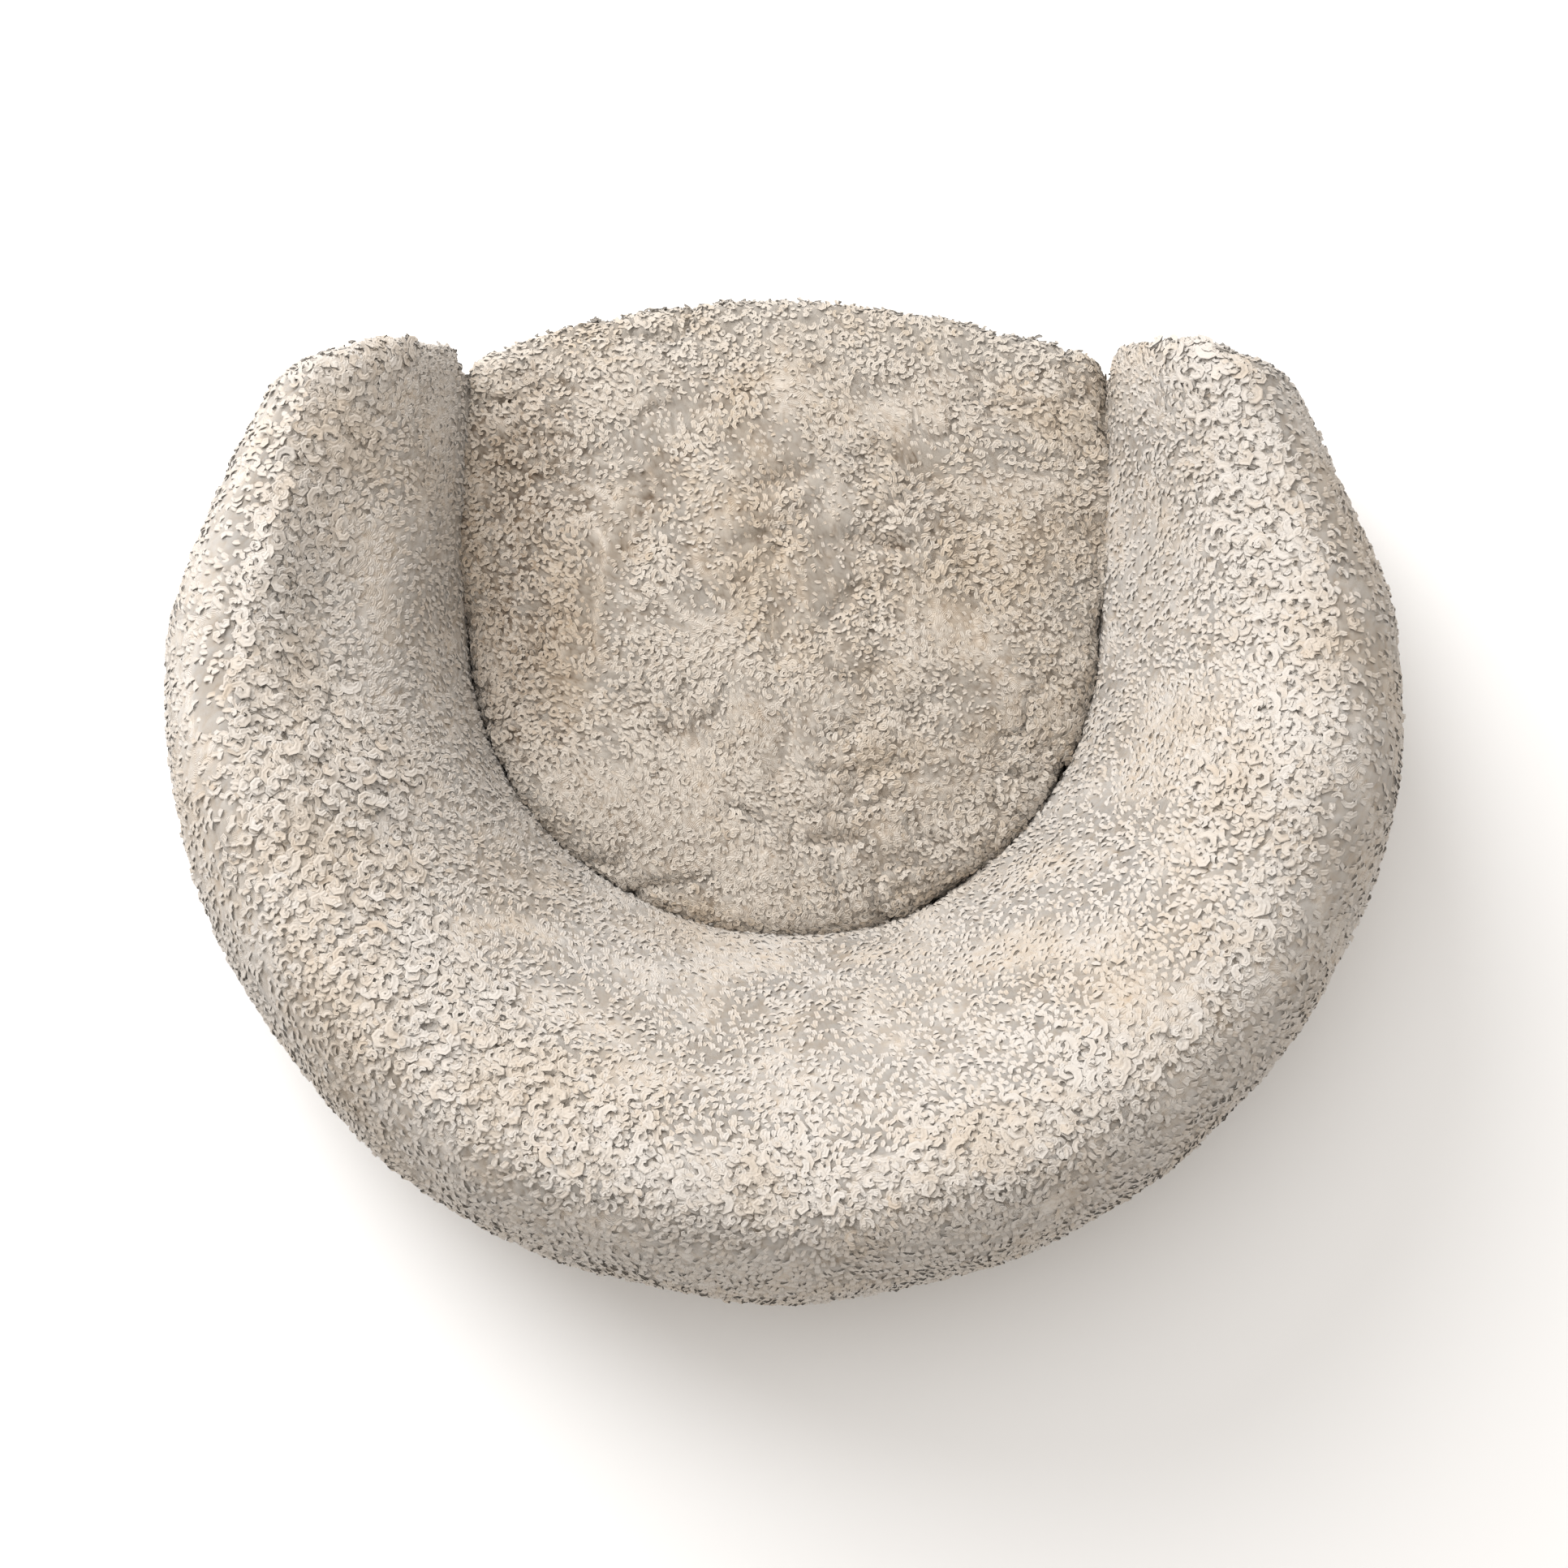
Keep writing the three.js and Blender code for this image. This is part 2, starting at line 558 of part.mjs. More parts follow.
function addBase() {
  const cloth = plate(baseShape(0), DOT_HEIGHT, UNDERSIDE);
  const dots = [];
  const reachInside = PLINTH_RADIUS - 2 * DOT_RADIUS;
  const rowPitch = DOT_PITCH * Math.sin(Math.PI / 3);
  for (let row = -DOT_ROWS; row <= DOT_ROWS; row++)
    for (let column = -DOT_COLUMNS; column <= DOT_COLUMNS; column++) {
      const x = (column + (row % 2 ? 0.5 : 0)) * DOT_PITCH;
      const y = row * rowPitch;
      const onBack = Math.hypot(x, y - OUTER_CENTRE_Y) < reachInside && y > RAY_CENTRE_Y;
      const onArms = y <= RAY_CENTRE_Y && Math.abs(x) < armHalfWidth(y, PLINTH_INSET + 2 * DOT_RADIUS);
      if ((onBack || onArms) && y > ARM_END_Y + 2 * DOT_RADIUS)
        dots.push(
          new THREE.CylinderGeometry(DOT_RADIUS, DOT_RADIUS, DOT_HEIGHT + 1, 10)
            .rotateX(Math.PI / 2)
            .translate(x, y, (DOT_HEIGHT + 1) / 2),
        );
    }
  add("base_underside", join(cloth, ...dots), GRIP_CLOTH);
  add("base_foam", plate(baseShape(PLINTH_CLEAR), BASE_FOAM_Z, BASE_FOAM), FOAM);
  add("base_lining", plate(baseShape(PLINTH_CLEAR), BASE_LINING_Z, BASE_LINING), LINING_CLOTH);
  for (const [side, sign] of [["left", -1], ["right", 1]])
    add(
      "base_hook_strip_" + side,
      box(STRIP_WIDTH, STRIP_LENGTH, STRIP_THICK, sign * STRIP_X, STRIP_Y, HOOK_Z),
      FASTENER,
    );
}

// The inner corner of an arm's end.
function armCornerX() {
  return place(stations(0)[0], 0, FLOOR).x;
}

// The plinth's line in plan: across one arm's end, along it, round the back, and back along the other arm.
function plinthLine(inset) {
  const arm = stations(0)
    .slice(0, END_STEPS + ARM_STEPS)
    .map((s) => place(s, s.plinth - s.inner - inset, FLOOR))
    .map((p) => p.setY(Math.max(p.y, ARM_END_Y + inset)));
  const corner = new THREE.Vector3(armCornerX() + CLOTH, ARM_END_Y + inset, 0);
  const right = [corner, ...arm];
  const widest = Math.round(90 / ARC_STEP) * ARC_STEP;
  const back = [];
  for (let turn = widest; turn >= -widest; turn -= ARC_STEP)
    back.push(onArc(PLINTH_RADIUS - inset, turn));
  const onTheBack = back.filter((p) => p.y > RAY_CENTRE_Y);
  const left = right.map((p) => new THREE.Vector3(-p.x, p.y, p.z)).reverse();
  return [...right, ...onTheBack, ...left];
}

function wall(line, low, high) {
  return line.map((p) => [low, high].map((z) => new THREE.Vector3(p.x, p.y, z)));
}

// The plinth is a cloth band round the base and the foot of the bolster, with a zip in its back.
function addPlinth() {
  const slot = arcBand(
    PLINTH_RADIUS - 2 * CLOTH,
    PLINTH_RADIUS + CLOTH,
    PLINTH_ZIP_Z - ZIP_SLOT / 2,
    PLINTH_ZIP_Z + ZIP_SLOT / 2,
    -PLINTH_ZIP_ANGLE,
    PLINTH_ZIP_ANGLE,
  );
  const [outside, inside] = [0, CLOTH].map((inset) => wall(plinthLine(inset), BASE_FOAM_Z, PLINTH_TOP));
  add("plinth_band", cut(sheet(outside, inside), slot), CANVAS);
}

// A narrow cloth binding covers the base's edge across the mouth.
function addFrontBinding() {
  const line = (inset) => {
    const edge = ARM_END_Y + inset;
    const middle = -BED_DEPTH / 2 + BASE_FRONT_INSET + inset;
    const curve = new THREE.QuadraticBezierCurve(
      new THREE.Vector2(-WELL_RADIUS, edge),
      new THREE.Vector2(0, 2 * middle - edge),
      new THREE.Vector2(WELL_RADIUS, edge),
    );
    const corner = (side) => new THREE.Vector2(side * (armCornerX() + CLOTH - GAP), edge);
    return [corner(-1), ...curve.getPoints(12), corner(1)];
  };
  const [outside, inside] = [0, CLOTH].map((inset) => wall(line(inset), BASE_FOAM_Z, FLOOR - GAP));
  add("front_binding", sheet(outside, inside), CANVAS);
}

// ---------------------------------------------------------------- zips

// A slider made flat: its chain runs along X, its front plate faces -Z. The chain's middle is at the origin.
function sliderBody() {
  const side = SLIDER_WIDTH / 2;
  const nose = SLIDER_LENGTH / 2;
  const outline = new THREE.Shape();
  outline.moveTo(-nose, -side * SLIDER_TAIL);
  outline.lineTo(nose * SLIDER_SHOULDER, -side);
  outline.quadraticCurveTo(nose, -side, nose, 0);
  outline.quadraticCurveTo(nose, side, nose * SLIDER_SHOULDER, side);
  outline.lineTo(-nose, side * SLIDER_TAIL);
  outline.closePath();
  const body = plate(outline, -SLIDER_HEIGHT / 2, SLIDER_HEIGHT);
  const long = 2 * SLIDER_LENGTH;
  const chainWay = CHAIN + 2 * GAP;
  const tapeWay = TAPE + 2 * GAP;
  const channel = box(long, chainWay, chainWay, 0, 0, -chainWay / 2);
  const slits = box(long, 2 * SLIDER_WIDTH, tapeWay, 0, 0, -tapeWay / 2);
  // Two posts, one each side of the chain, join the plates near the nose.
  const postY = (chainWay + SLIDER_POST) / 2;
  const postZ = tapeWay / 2 + GAP;
  const posts = [-postY, postY].map((y) => box(1, SLIDER_POST, 2 * postZ, nose * 0.5, y, -postZ));
  return join(cut(body, channel, slits), ...posts);
}

function sliderWithBail() {
  const front = -SLIDER_HEIGHT / 2;
  const legX = (BAIL_SPAN + BAIL_BAR) / 2;
  const leg = (x) => box(BAIL_BAR, BAIL_BAR, BAIL_REACH + GAP, x, 0, front - BAIL_REACH);
  const bar = box(BAIL_SPAN + 2 * BAIL_BAR, BAIL_BAR, BAIL_BAR, 0, 0, front - BAIL_REACH);
  return join(sliderBody(), leg(-legX), leg(legX), bar);
}

// The pull hangs from the bail: a flat tab with a hole near its tip, under an eye that turns on the bar.
// It is made in its own place, with the bar's axis along X through the origin and the tab pointing to -Y.
function pullTab() {
  const eyeLength = BAIL_SPAN - 2 * GAP;
  const hole = BAIL_BAR * Math.SQRT1_2 + GAP;
  const round = (radius, length) =>
    new THREE.CylinderGeometry(radius, radius, length, 16).rotateZ(Math.PI / 2);
  const tab = new THREE.Shape();
  const half = PULL_WIDTH / 2;
  const neck = eyeLength / 2;
  tab.moveTo(-neck, 0);
  tab.lineTo(-neck, -PULL_BARREL - 1);
  tab.lineTo(-half, -PULL_BARREL - 3);
  tab.lineTo(-half, half - PULL_LENGTH);
  tab.absarc(0, half - PULL_LENGTH, half, Math.PI, 2 * Math.PI, false);
  tab.lineTo(half, -PULL_BARREL - 3);
  tab.lineTo(neck, -PULL_BARREL - 1);
  tab.lineTo(neck, 0);
  tab.closePath();
  const eyelet = new THREE.Path().absarc(0, half - PULL_LENGTH, half * PULL_HOLE, 0, 2 * Math.PI, true);
  tab.holes.push(eyelet);
  const flat = plate(tab, -PULL_THICK / 2, PULL_THICK);
  return cut(join(flat, round(PULL_BARREL, eyeLength)), round(hole, 2 * eyeLength));
}

function addPlinthZip() {
  const tapeIn = ZIP_PLAN_RADIUS - TAPE / 2;
  const tapeOut = ZIP_PLAN_RADIUS + TAPE / 2;
  const ends = [-PLINTH_ZIP_ANGLE, PLINTH_ZIP_ANGLE];
  const strip = (offset) => {
    const low = PLINTH_ZIP_Z + offset;
    return arcBand(tapeIn, tapeOut, low, low + ZIP_TAPE_WIDTH, ...ends);
  };
  add("plinth_zip_tape_upper", strip(TAPE_EDGE), ZIP_TAPE);
  add("plinth_zip_tape_lower", strip(-TAPE_EDGE - ZIP_TAPE_WIDTH), ZIP_TAPE);
  const radii = [ZIP_PLAN_RADIUS - CHAIN / 2, ZIP_PLAN_RADIUS + CHAIN / 2];
  const heights = [PLINTH_ZIP_Z - CHAIN / 2, PLINTH_ZIP_Z + CHAIN / 2];
  const gapAngle = (GAP / ZIP_PLAN_RADIUS) * THREE.MathUtils.RAD2DEG;
  const chainEnd = PLINTH_ZIP_ANGLE - ZIP_END_ANGLE - gapAngle;
  add("plinth_zip_chain", arcBand(...radii, ...heights, -chainEnd, chainEnd), ZIP_METAL);
  for (const [side, from] of [["right", ends[1] - ZIP_END_ANGLE], ["left", ends[0]]])
    add("plinth_zip_stop_" + side, arcBand(...radii, ...heights, from, from + ZIP_END_ANGLE), ZIP_METAL);

  const seat = new THREE.Group();
  const turn = radians(SLIDER_REST_ANGLE);
  const along = new THREE.Vector3(Math.cos(turn), -Math.sin(turn), 0);
  const up = new THREE.Vector3(0, 0, 1);
  seat.setRotationFromMatrix(new THREE.Matrix4().makeBasis(along, up, along.clone().cross(up)));
  seat.position.copy(onArc(ZIP_PLAN_RADIUS, SLIDER_REST_ANGLE, PLINTH_ZIP_Z));
  group.add(seat);
  seat.add(add("plinth_zip_slider", sliderWithBail(), ZIP_METAL));
  const pull = add("plinth_zip_pull", pullTab(), ZIP_METAL);
  pull.position.z = -SLIDER_HEIGHT / 2 - BAIL_REACH + BAIL_BAR / 2;
  seat.add(pull);
}

function addCushionZip() {
  const z = CUSHION_ZIP_Z;
  const edge = TAPE_EDGE + ZIP_TAPE_WIDTH / 2;
  const strip = (y) => box(2 * CUSHION_ZIP_HALF, ZIP_TAPE_WIDTH, TAPE, 0, CUSHION_ZIP_Y + y, z - TAPE / 2);
  add("cushion_zip_tape_front", strip(-edge), ZIP_TAPE);
  add("cushion_zip_tape_rear", strip(edge), ZIP_TAPE);
  const chainHalf = CUSHION_ZIP_HALF - STOP_LENGTH - GAP;
  const bar = (length, x) => box(length, CHAIN, CHAIN, x, CUSHION_ZIP_Y, z - CHAIN / 2);
  add("cushion_zip_chain", bar(2 * chainHalf, 0), ZIP_METAL);
  for (const [side, sign] of [["left", -1], ["right", 1]]) {
    const x = sign * (CUSHION_ZIP_HALF - STOP_LENGTH / 2);
    add("cushion_zip_stop_" + side, bar(STOP_LENGTH, x), ZIP_METAL);
  }
  // This slider has no pull, so that a pet can't find it: a bent wire through its two holes draws it along.
  const slider = add("cushion_zip_slider", sliderBody(), ZIP_METAL);
  const x = CUSHION_ZIP_HALF - STOP_LENGTH - 2 * GAP - SLIDER_LENGTH / 2;
  slider.position.set(x, CUSHION_ZIP_Y, z);
}

// ---------------------------------------------------------------- cushion

// The cushion's outline at an inset: a half circle at the back, straight sides, round corners, a bowed front.
function cushionOutline(inset) {
  const side = WELL_RADIUS - CUSHION_GAP - inset;
  const frontMiddle = -BED_DEPTH / 2 + inset;
  const frontEdge = frontMiddle + CUSHION_SAG;
  const corner = Math.max(CUSHION_CORNER - inset, 1);
  const points = [];
  for (let i = 0; i <= CUSHION_ARC_STEPS; i++) {
    const turn = radians(mix(-90, 90, i / CUSHION_ARC_STEPS));
    points.push(new THREE.Vector2(side * Math.sin(turn), WELL_CENTRE_Y + side * Math.cos(turn)));
  }
  const rightCorner = [];
  for (let i = 0; i <= CUSHION_CORNER_STEPS; i++) {
    const turn = radians((CUSHION_CORNER_TURN * i) / CUSHION_CORNER_STEPS);
    const x = side - corner * (1 - Math.cos(turn));
    rightCorner.push(new THREE.Vector2(x, frontEdge + corner * (1 - Math.sin(turn))));
  }
  const [right] = rightCorner.slice(-1);
  const bow = new THREE.QuadraticBezierCurve(
    right,
    new THREE.Vector2(0, 2 * frontMiddle - right.y),
    new THREE.Vector2(-right.x, right.y),
  );
  const leftCorner = rightCorner.map((p) => new THREE.Vector2(-p.x, p.y)).reverse();
  return [...points, ...rightCorner, ...bow.getPoints(CUSHION_FRONT_STEPS).slice(1, -1), ...leftCorner];
}

function level(inset, height) {
  return cushionOutline(inset).map((p) => new THREE.Vector3(p.x, p.y, height(p)));
}

// Where the sheepskin ends and the border cloth begins: low across the mouth, high in the well.
function hemHeight(p) {
  const past = (ARM_END_Y + 2 * CUSHION_CORNER - p.y) / CUSHION_CORNER;
  return mix(BORDER_TOP, FRONT_HEM, THREE.MathUtils.clamp(past, 0, 1));
}

// The top of the cushion at a depth under its surface: rings up the side, round the edge and over the crown.
function cushionTop(depth, foot) {
  const rings = [level(depth, foot), level(depth, () => CUSHION_EDGE_TOP - depth * EDGE_SHRINK)];
  for (let i = 1; i <= CUSHION_EDGE_STEPS; i++) {
    const turn = radians((90 * i) / CUSHION_EDGE_STEPS);
    const inset = depth + CUSHION_ROUND * (1 - Math.cos(turn));
    const sunk = depth * mix(EDGE_SHRINK, 1, i / CUSHION_EDGE_STEPS);
    const height = mix(CUSHION_EDGE_TOP, CUSHION_SHOULDER, Math.sin(turn)) - sunk;
    rings.push(level(inset, () => height));
  }
  const shoulder = rings[rings.length - 1];
  const middle = new THREE.Vector3(0, shoulder.reduce((sum, p) => sum + p.y, 0) / shoulder.length, 0);
  const crownAt = (share) => mix(CUSHION_CROWN, CUSHION_SHOULDER, share ** 2) - depth;
  for (const share of CROWN_RINGS)
    rings.push(shoulder.map((p) => p.clone().lerp(middle, 1 - share).setZ(crownAt(share))));
  return { rings, middle: middle.clone().setZ(crownAt(0)) };
}

function dome({ rings, middle }) {
  const count = rings[0].length;
  const points = [...rings.flat(), middle];
  const triangles = [];
  rings.slice(1).forEach((_, i) => ringWalls(triangles, i * count, (i + 1) * count, count));
  const last = (rings.length - 1) * count;
  const foot = points.length;
  points.push(rings[0].reduce((sum, p) => sum.add(p), new THREE.Vector3()).divideScalar(count));
  for (let j = 0; j < count; j++) {
    triangles.push(foot - 1, last + j, last + ((j + 1) % count));
    triangles.push(foot, (j + 1) % count, j);
  }
  return solid(points, triangles);
}

function outlineShape(inset) {
  return new THREE.Shape(cushionOutline(inset));
}

function addCushionCovers() {
  add("cushion_cover", cap(cushionTop(0, hemHeight), cushionTop(SKIN, hemHeight)), SEAT_SHEEPSKIN);
  const waist = (p) => hemHeight(p) - GAP;
  const foot = CUSHION_Z + CLOTH + GAP;
  const [outside, inside] = [0, CLOTH].map((inset) => level(inset, waist));
  const [outsideFoot, insideFoot] = [0, CLOTH].map((inset) => level(inset + CUSHION_TUCK, () => foot));
  const rings = outside.map((p, i) => [outsideFoot[i], p, inside[i], insideFoot[i]]);
  add("cushion_border", hoop(rings), CANVAS);
  const slot = box(2 * CUSHION_ZIP_HALF, ZIP_SLOT, 4 * CLOTH, 0, CUSHION_ZIP_Y, CUSHION_Z - CLOTH);
  add("cushion_underside", cut(plate(outlineShape(CUSHION_TUCK), CUSHION_Z, CLOTH), slot), CANVAS);
}

function addCushionFilling() {
  const splitZ = CUSHION_SHOULDER - WADDING_DEPTH - WADDING - MEMORY_FOAM;
  const waddingFoot = () => splitZ;
  const outside = cushionTop(SKIN + GAP, waddingFoot);
  const inside = cushionTop(SKIN + GAP + WADDING, waddingFoot);
  add("cushion_wadding", cap(outside, inside), WADDING_WHITE);
  const inset = SKIN + WADDING + 2 * GAP;
  add("cushion_memory_foam", dome(cushionTop(inset, () => splitZ + GAP)), SOFT_FOAM);
  const support = plate(outlineShape(inset + CUSHION_TUCK), CUSHION_FOAM_Z, splitZ - CUSHION_FOAM_Z - GAP);
  add("cushion_support_foam", support, FOAM);
}

function addLoopStrips() {
  for (const [side, sign] of [["left", -1], ["right", 1]])
    add(
      "cushion_loop_strip_" + side,
      box(STRIP_WIDTH, STRIP_LENGTH, STRIP_THICK, sign * STRIP_X, STRIP_Y, LOOP_Z),
      FASTENER,
    );
}

addBase();
addPlinth();
addFrontBinding();
addPlinthZip();
addBolster();
addBolsterFoam();
addArmFacings();
addCushionCovers();
addCushionFilling();
addCushionZip();
addLoopStrips();

export default group;
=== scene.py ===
# %% [markdown]
# # A sheepskin pet bed
# The bed is a C-shaped bolster round a cushion, both covered in curly sheepskin, on a low canvas plinth.
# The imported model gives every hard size, so it is loaded first and is never changed. Each soft piece is
# then made as real wool: a smooth padded form, and on it a pile whose locks are shaped in the mesh.

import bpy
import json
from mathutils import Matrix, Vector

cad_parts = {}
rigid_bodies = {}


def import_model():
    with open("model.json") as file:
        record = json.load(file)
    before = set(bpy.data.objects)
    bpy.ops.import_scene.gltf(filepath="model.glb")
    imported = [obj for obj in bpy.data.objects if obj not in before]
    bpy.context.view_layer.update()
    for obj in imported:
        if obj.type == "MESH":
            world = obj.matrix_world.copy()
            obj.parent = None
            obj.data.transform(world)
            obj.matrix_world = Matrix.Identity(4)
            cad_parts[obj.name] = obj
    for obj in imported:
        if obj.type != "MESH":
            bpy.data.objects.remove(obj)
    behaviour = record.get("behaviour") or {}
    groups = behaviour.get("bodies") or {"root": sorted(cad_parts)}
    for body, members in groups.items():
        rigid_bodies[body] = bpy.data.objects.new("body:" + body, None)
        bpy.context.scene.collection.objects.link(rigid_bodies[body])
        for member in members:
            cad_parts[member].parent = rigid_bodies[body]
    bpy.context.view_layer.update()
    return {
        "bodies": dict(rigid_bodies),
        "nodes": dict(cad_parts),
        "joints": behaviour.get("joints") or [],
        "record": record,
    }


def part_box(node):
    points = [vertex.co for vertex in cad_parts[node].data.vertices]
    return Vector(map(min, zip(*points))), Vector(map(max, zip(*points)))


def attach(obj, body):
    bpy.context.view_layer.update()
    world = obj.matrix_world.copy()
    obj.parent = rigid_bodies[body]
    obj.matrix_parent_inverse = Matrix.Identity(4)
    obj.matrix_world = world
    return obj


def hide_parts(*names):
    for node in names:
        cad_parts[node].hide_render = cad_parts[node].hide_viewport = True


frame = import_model()

import json
import math

import bpy
import numpy as np
from mathutils import Matrix, Vector

MM = 0.001

# %% [markdown]
# ## Sizes taken from the frame
# A maker measures the carcass before cutting the skins. The plinth's outside is a true arc, so its box gives
# the arc's radius and centre, and the bolster, the well and the cushion follow from their own boxes.

# %% Measure the bed
outer_low, outer_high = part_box("bolster_outer_panel")
inner_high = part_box("bolster_inner_panel")[1]
plinth_low, plinth_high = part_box("plinth_band")
lining_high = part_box("well_lining")[1]
cushion_low, cushion_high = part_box("cushion_cover")
CLOTH = 2 * MM
SKIN = 8 * MM
CUSHION_GAP = 1.5 * MM

PLINTH_RADIUS = plinth_high.x
PLINTH_TOP = plinth_high.z
ARC_Y = plinth_high.y - PLINTH_RADIUS
BED_RADIUS = outer_high.y - ARC_Y
WELL_RADIUS = cushion_high.x + CUSHION_GAP
WELL_Y = lining_high.y - CLOTH - WELL_RADIUS
FAN_Y = (ARC_Y + WELL_Y) / 2
ARM_END_Y = outer_low.y
LINING_TOP = lining_high.z
BACK_CREST_Z = inner_high.z
MOUTH_CREST_Z = 215 * MM
ARM_TAPER = 0.43
ARM_BLEND = 16 * MM
END_ROUND = 21 * MM
END_PIVOT = 14 * MM
WALL_TOP = 92 * MM
print("bed radius", round(BED_RADIUS, 4), "well radius", round(WELL_RADIUS, 4))
print("arms end at", round(ARM_END_Y, 4))

# %% [markdown]
# ## Camera and light
# The bed is seen from almost straight above, with its mouth at the top of the picture. One large soft lamp
# stands beyond the mouth, a little to one side, and a bright even sky fills the shadows, so wool stays pale.

# %% Camera
camera_data = bpy.data.cameras.new("camera")
camera_data.lens = 85  # a long lens, from two metres away, so that the far rim isn't drawn small
camera_data.sensor_width = 36
camera = bpy.data.objects.new("camera", camera_data)
bpy.context.scene.collection.objects.link(camera)
bpy.context.scene.camera = camera

CAMERA_ELEVATION = math.radians(83.5)
CAMERA_DISTANCE = 2.158
look_at = Vector((0, 0, 0.13))  # half way up the bed
view_back = Vector((0, math.cos(CAMERA_ELEVATION), math.sin(CAMERA_ELEVATION)))
camera.location = look_at + view_back * CAMERA_DISTANCE
camera.rotation_mode = "QUATERNION"
right = Vector((-1, 0, 0))
up = view_back.cross(right)
camera.rotation_quaternion = Matrix((right, up, view_back)).transposed().to_quaternion()
camera_data.clip_end = 50


# %% Lamps and sky
def area_lamp(name, place, size, power, colour=(1, 1, 1)):
    data = bpy.data.lights.new(name, "AREA")
    data.shape = "DISK"
    data.size = size
    data.energy = power
    data.color = colour
    lamp = bpy.data.objects.new(name, data)
    bpy.context.scene.collection.objects.link(lamp)
    lamp.location = place
    lamp.rotation_mode = "QUATERNION"
    lamp.rotation_quaternion = Vector(place).to_track_quat("Z", "Y")
    return lamp


area_lamp("key_lamp", (1.5, -1.9, 2.0), 2.6, 106, (0.985, 0.99, 1.0))
area_lamp("top_lamp", (0.1, -0.4, 3.0), 2.0, 28)

sky = bpy.data.worlds.new("sky")
bpy.context.scene.world = sky
sky.use_nodes = True
sky.node_tree.nodes["Background"].inputs["Color"].default_value = (1.0, 0.945, 0.885, 1)
sky.node_tree.nodes["Background"].inputs["Strength"].default_value = 0.60
bpy.context.scene.view_settings.view_transform = "Standard"

# %% [markdown]
# ## Shader maths as Python
# A material is a small network of nodes. One class wraps a node's output so that sums can be written as
# ordinary expressions, and one function adds any other node from its type, settings and input values.


# %% The shader wrapper
class Wire:
    """A number flowing through a material; arithmetic on it adds Math nodes."""

    def __init__(self, tree, socket):
        self.tree = tree
        self.socket = socket

    def math(self, operation, *others):
        made = add_node(self.tree, "ShaderNodeMath", {"operation": operation}, {})
        for slot, value in enumerate((self, *others)):
            connect(self.tree, value, made.inputs[slot])
        return Wire(self.tree, made.outputs[0])

    def __add__(self, other):
        return self.math("ADD", other)

    def __radd__(self, other):
        return self.math("ADD", other)

    def __sub__(self, other):
        return self.math("SUBTRACT", other)

    def __rsub__(self, other):
        return self.math("MULTIPLY", -1).math("ADD", other)

    def __mul__(self, other):
        return self.math("MULTIPLY", other)

    def __rmul__(self, other):
        return self.math("MULTIPLY", other)

    def __pow__(self, other):
        return self.math("POWER", other)

    def clamped(self, low=0.0, high=1.0):
        return self.math("MAXIMUM", low).math("MINIMUM", high)


def connect(tree, value, socket):
    if isinstance(value, Wire):
        tree.links.new(value.socket, socket)
    elif isinstance(value, (tuple, list)) and len(value) == 3 and socket.type == "RGBA":
        socket.default_value = (*value, 1)
    else:
        socket.default_value = value


def add_node(tree, kind, settings, inputs):
    made = tree.nodes.new(kind)
    for name, value in settings.items():
        setattr(made, name, value)
    for name, value in inputs.items():
        connect(tree, value, made.inputs[name])
    return made


def start_material(name, roughness, **constants):
    """A material with one Principled surface; constants go straight on its sockets."""
    material = bpy.data.materials.new(name)
    material.use_nodes = True
    surface = material.node_tree.nodes["Principled BSDF"]
    surface.inputs["Roughness"].default_value = roughness
    for socket, value in constants.items():
        surface.inputs[socket.replace("_", " ")].default_value = value
    return material, material.node_tree, surface


def object_place(tree):
    return Wire(tree, add_node(tree, "ShaderNodeTexCoord", {}, {}).outputs["Object"])


def noise(tree, place, scale, detail=3.0, roughness=0.55):
    made = add_node(
        tree,
        "ShaderNodeTexNoise",
        {},
        {"Vector": place, "Scale": scale, "Detail": detail, "Roughness": roughness},
    )
    return Wire(tree, made.outputs["Fac"])


def mix_colour(tree, factor, first, second, blend="MIX"):
    made = add_node(tree, "ShaderNodeMix", {"data_type": "RGBA", "blend_type": blend}, {})
    connect(tree, factor, made.inputs[0])
    connect(tree, first, made.inputs[6])
    connect(tree, second, made.inputs[7])
    return Wire(tree, made.outputs[2])


def bump(tree, height, distance, strength=1.0, normal=None):
    inputs = {"Height": height, "Distance": distance, "Strength": strength}
    if normal is not None:
        inputs["Normal"] = normal
    return Wire(tree, add_node(tree, "ShaderNodeBump", {}, inputs).outputs["Normal"])


def attribute(tree, name):
    made = add_node(tree, "ShaderNodeAttribute", {"attribute_name": name}, {})
    return Wire(tree, made.outputs["Fac"])
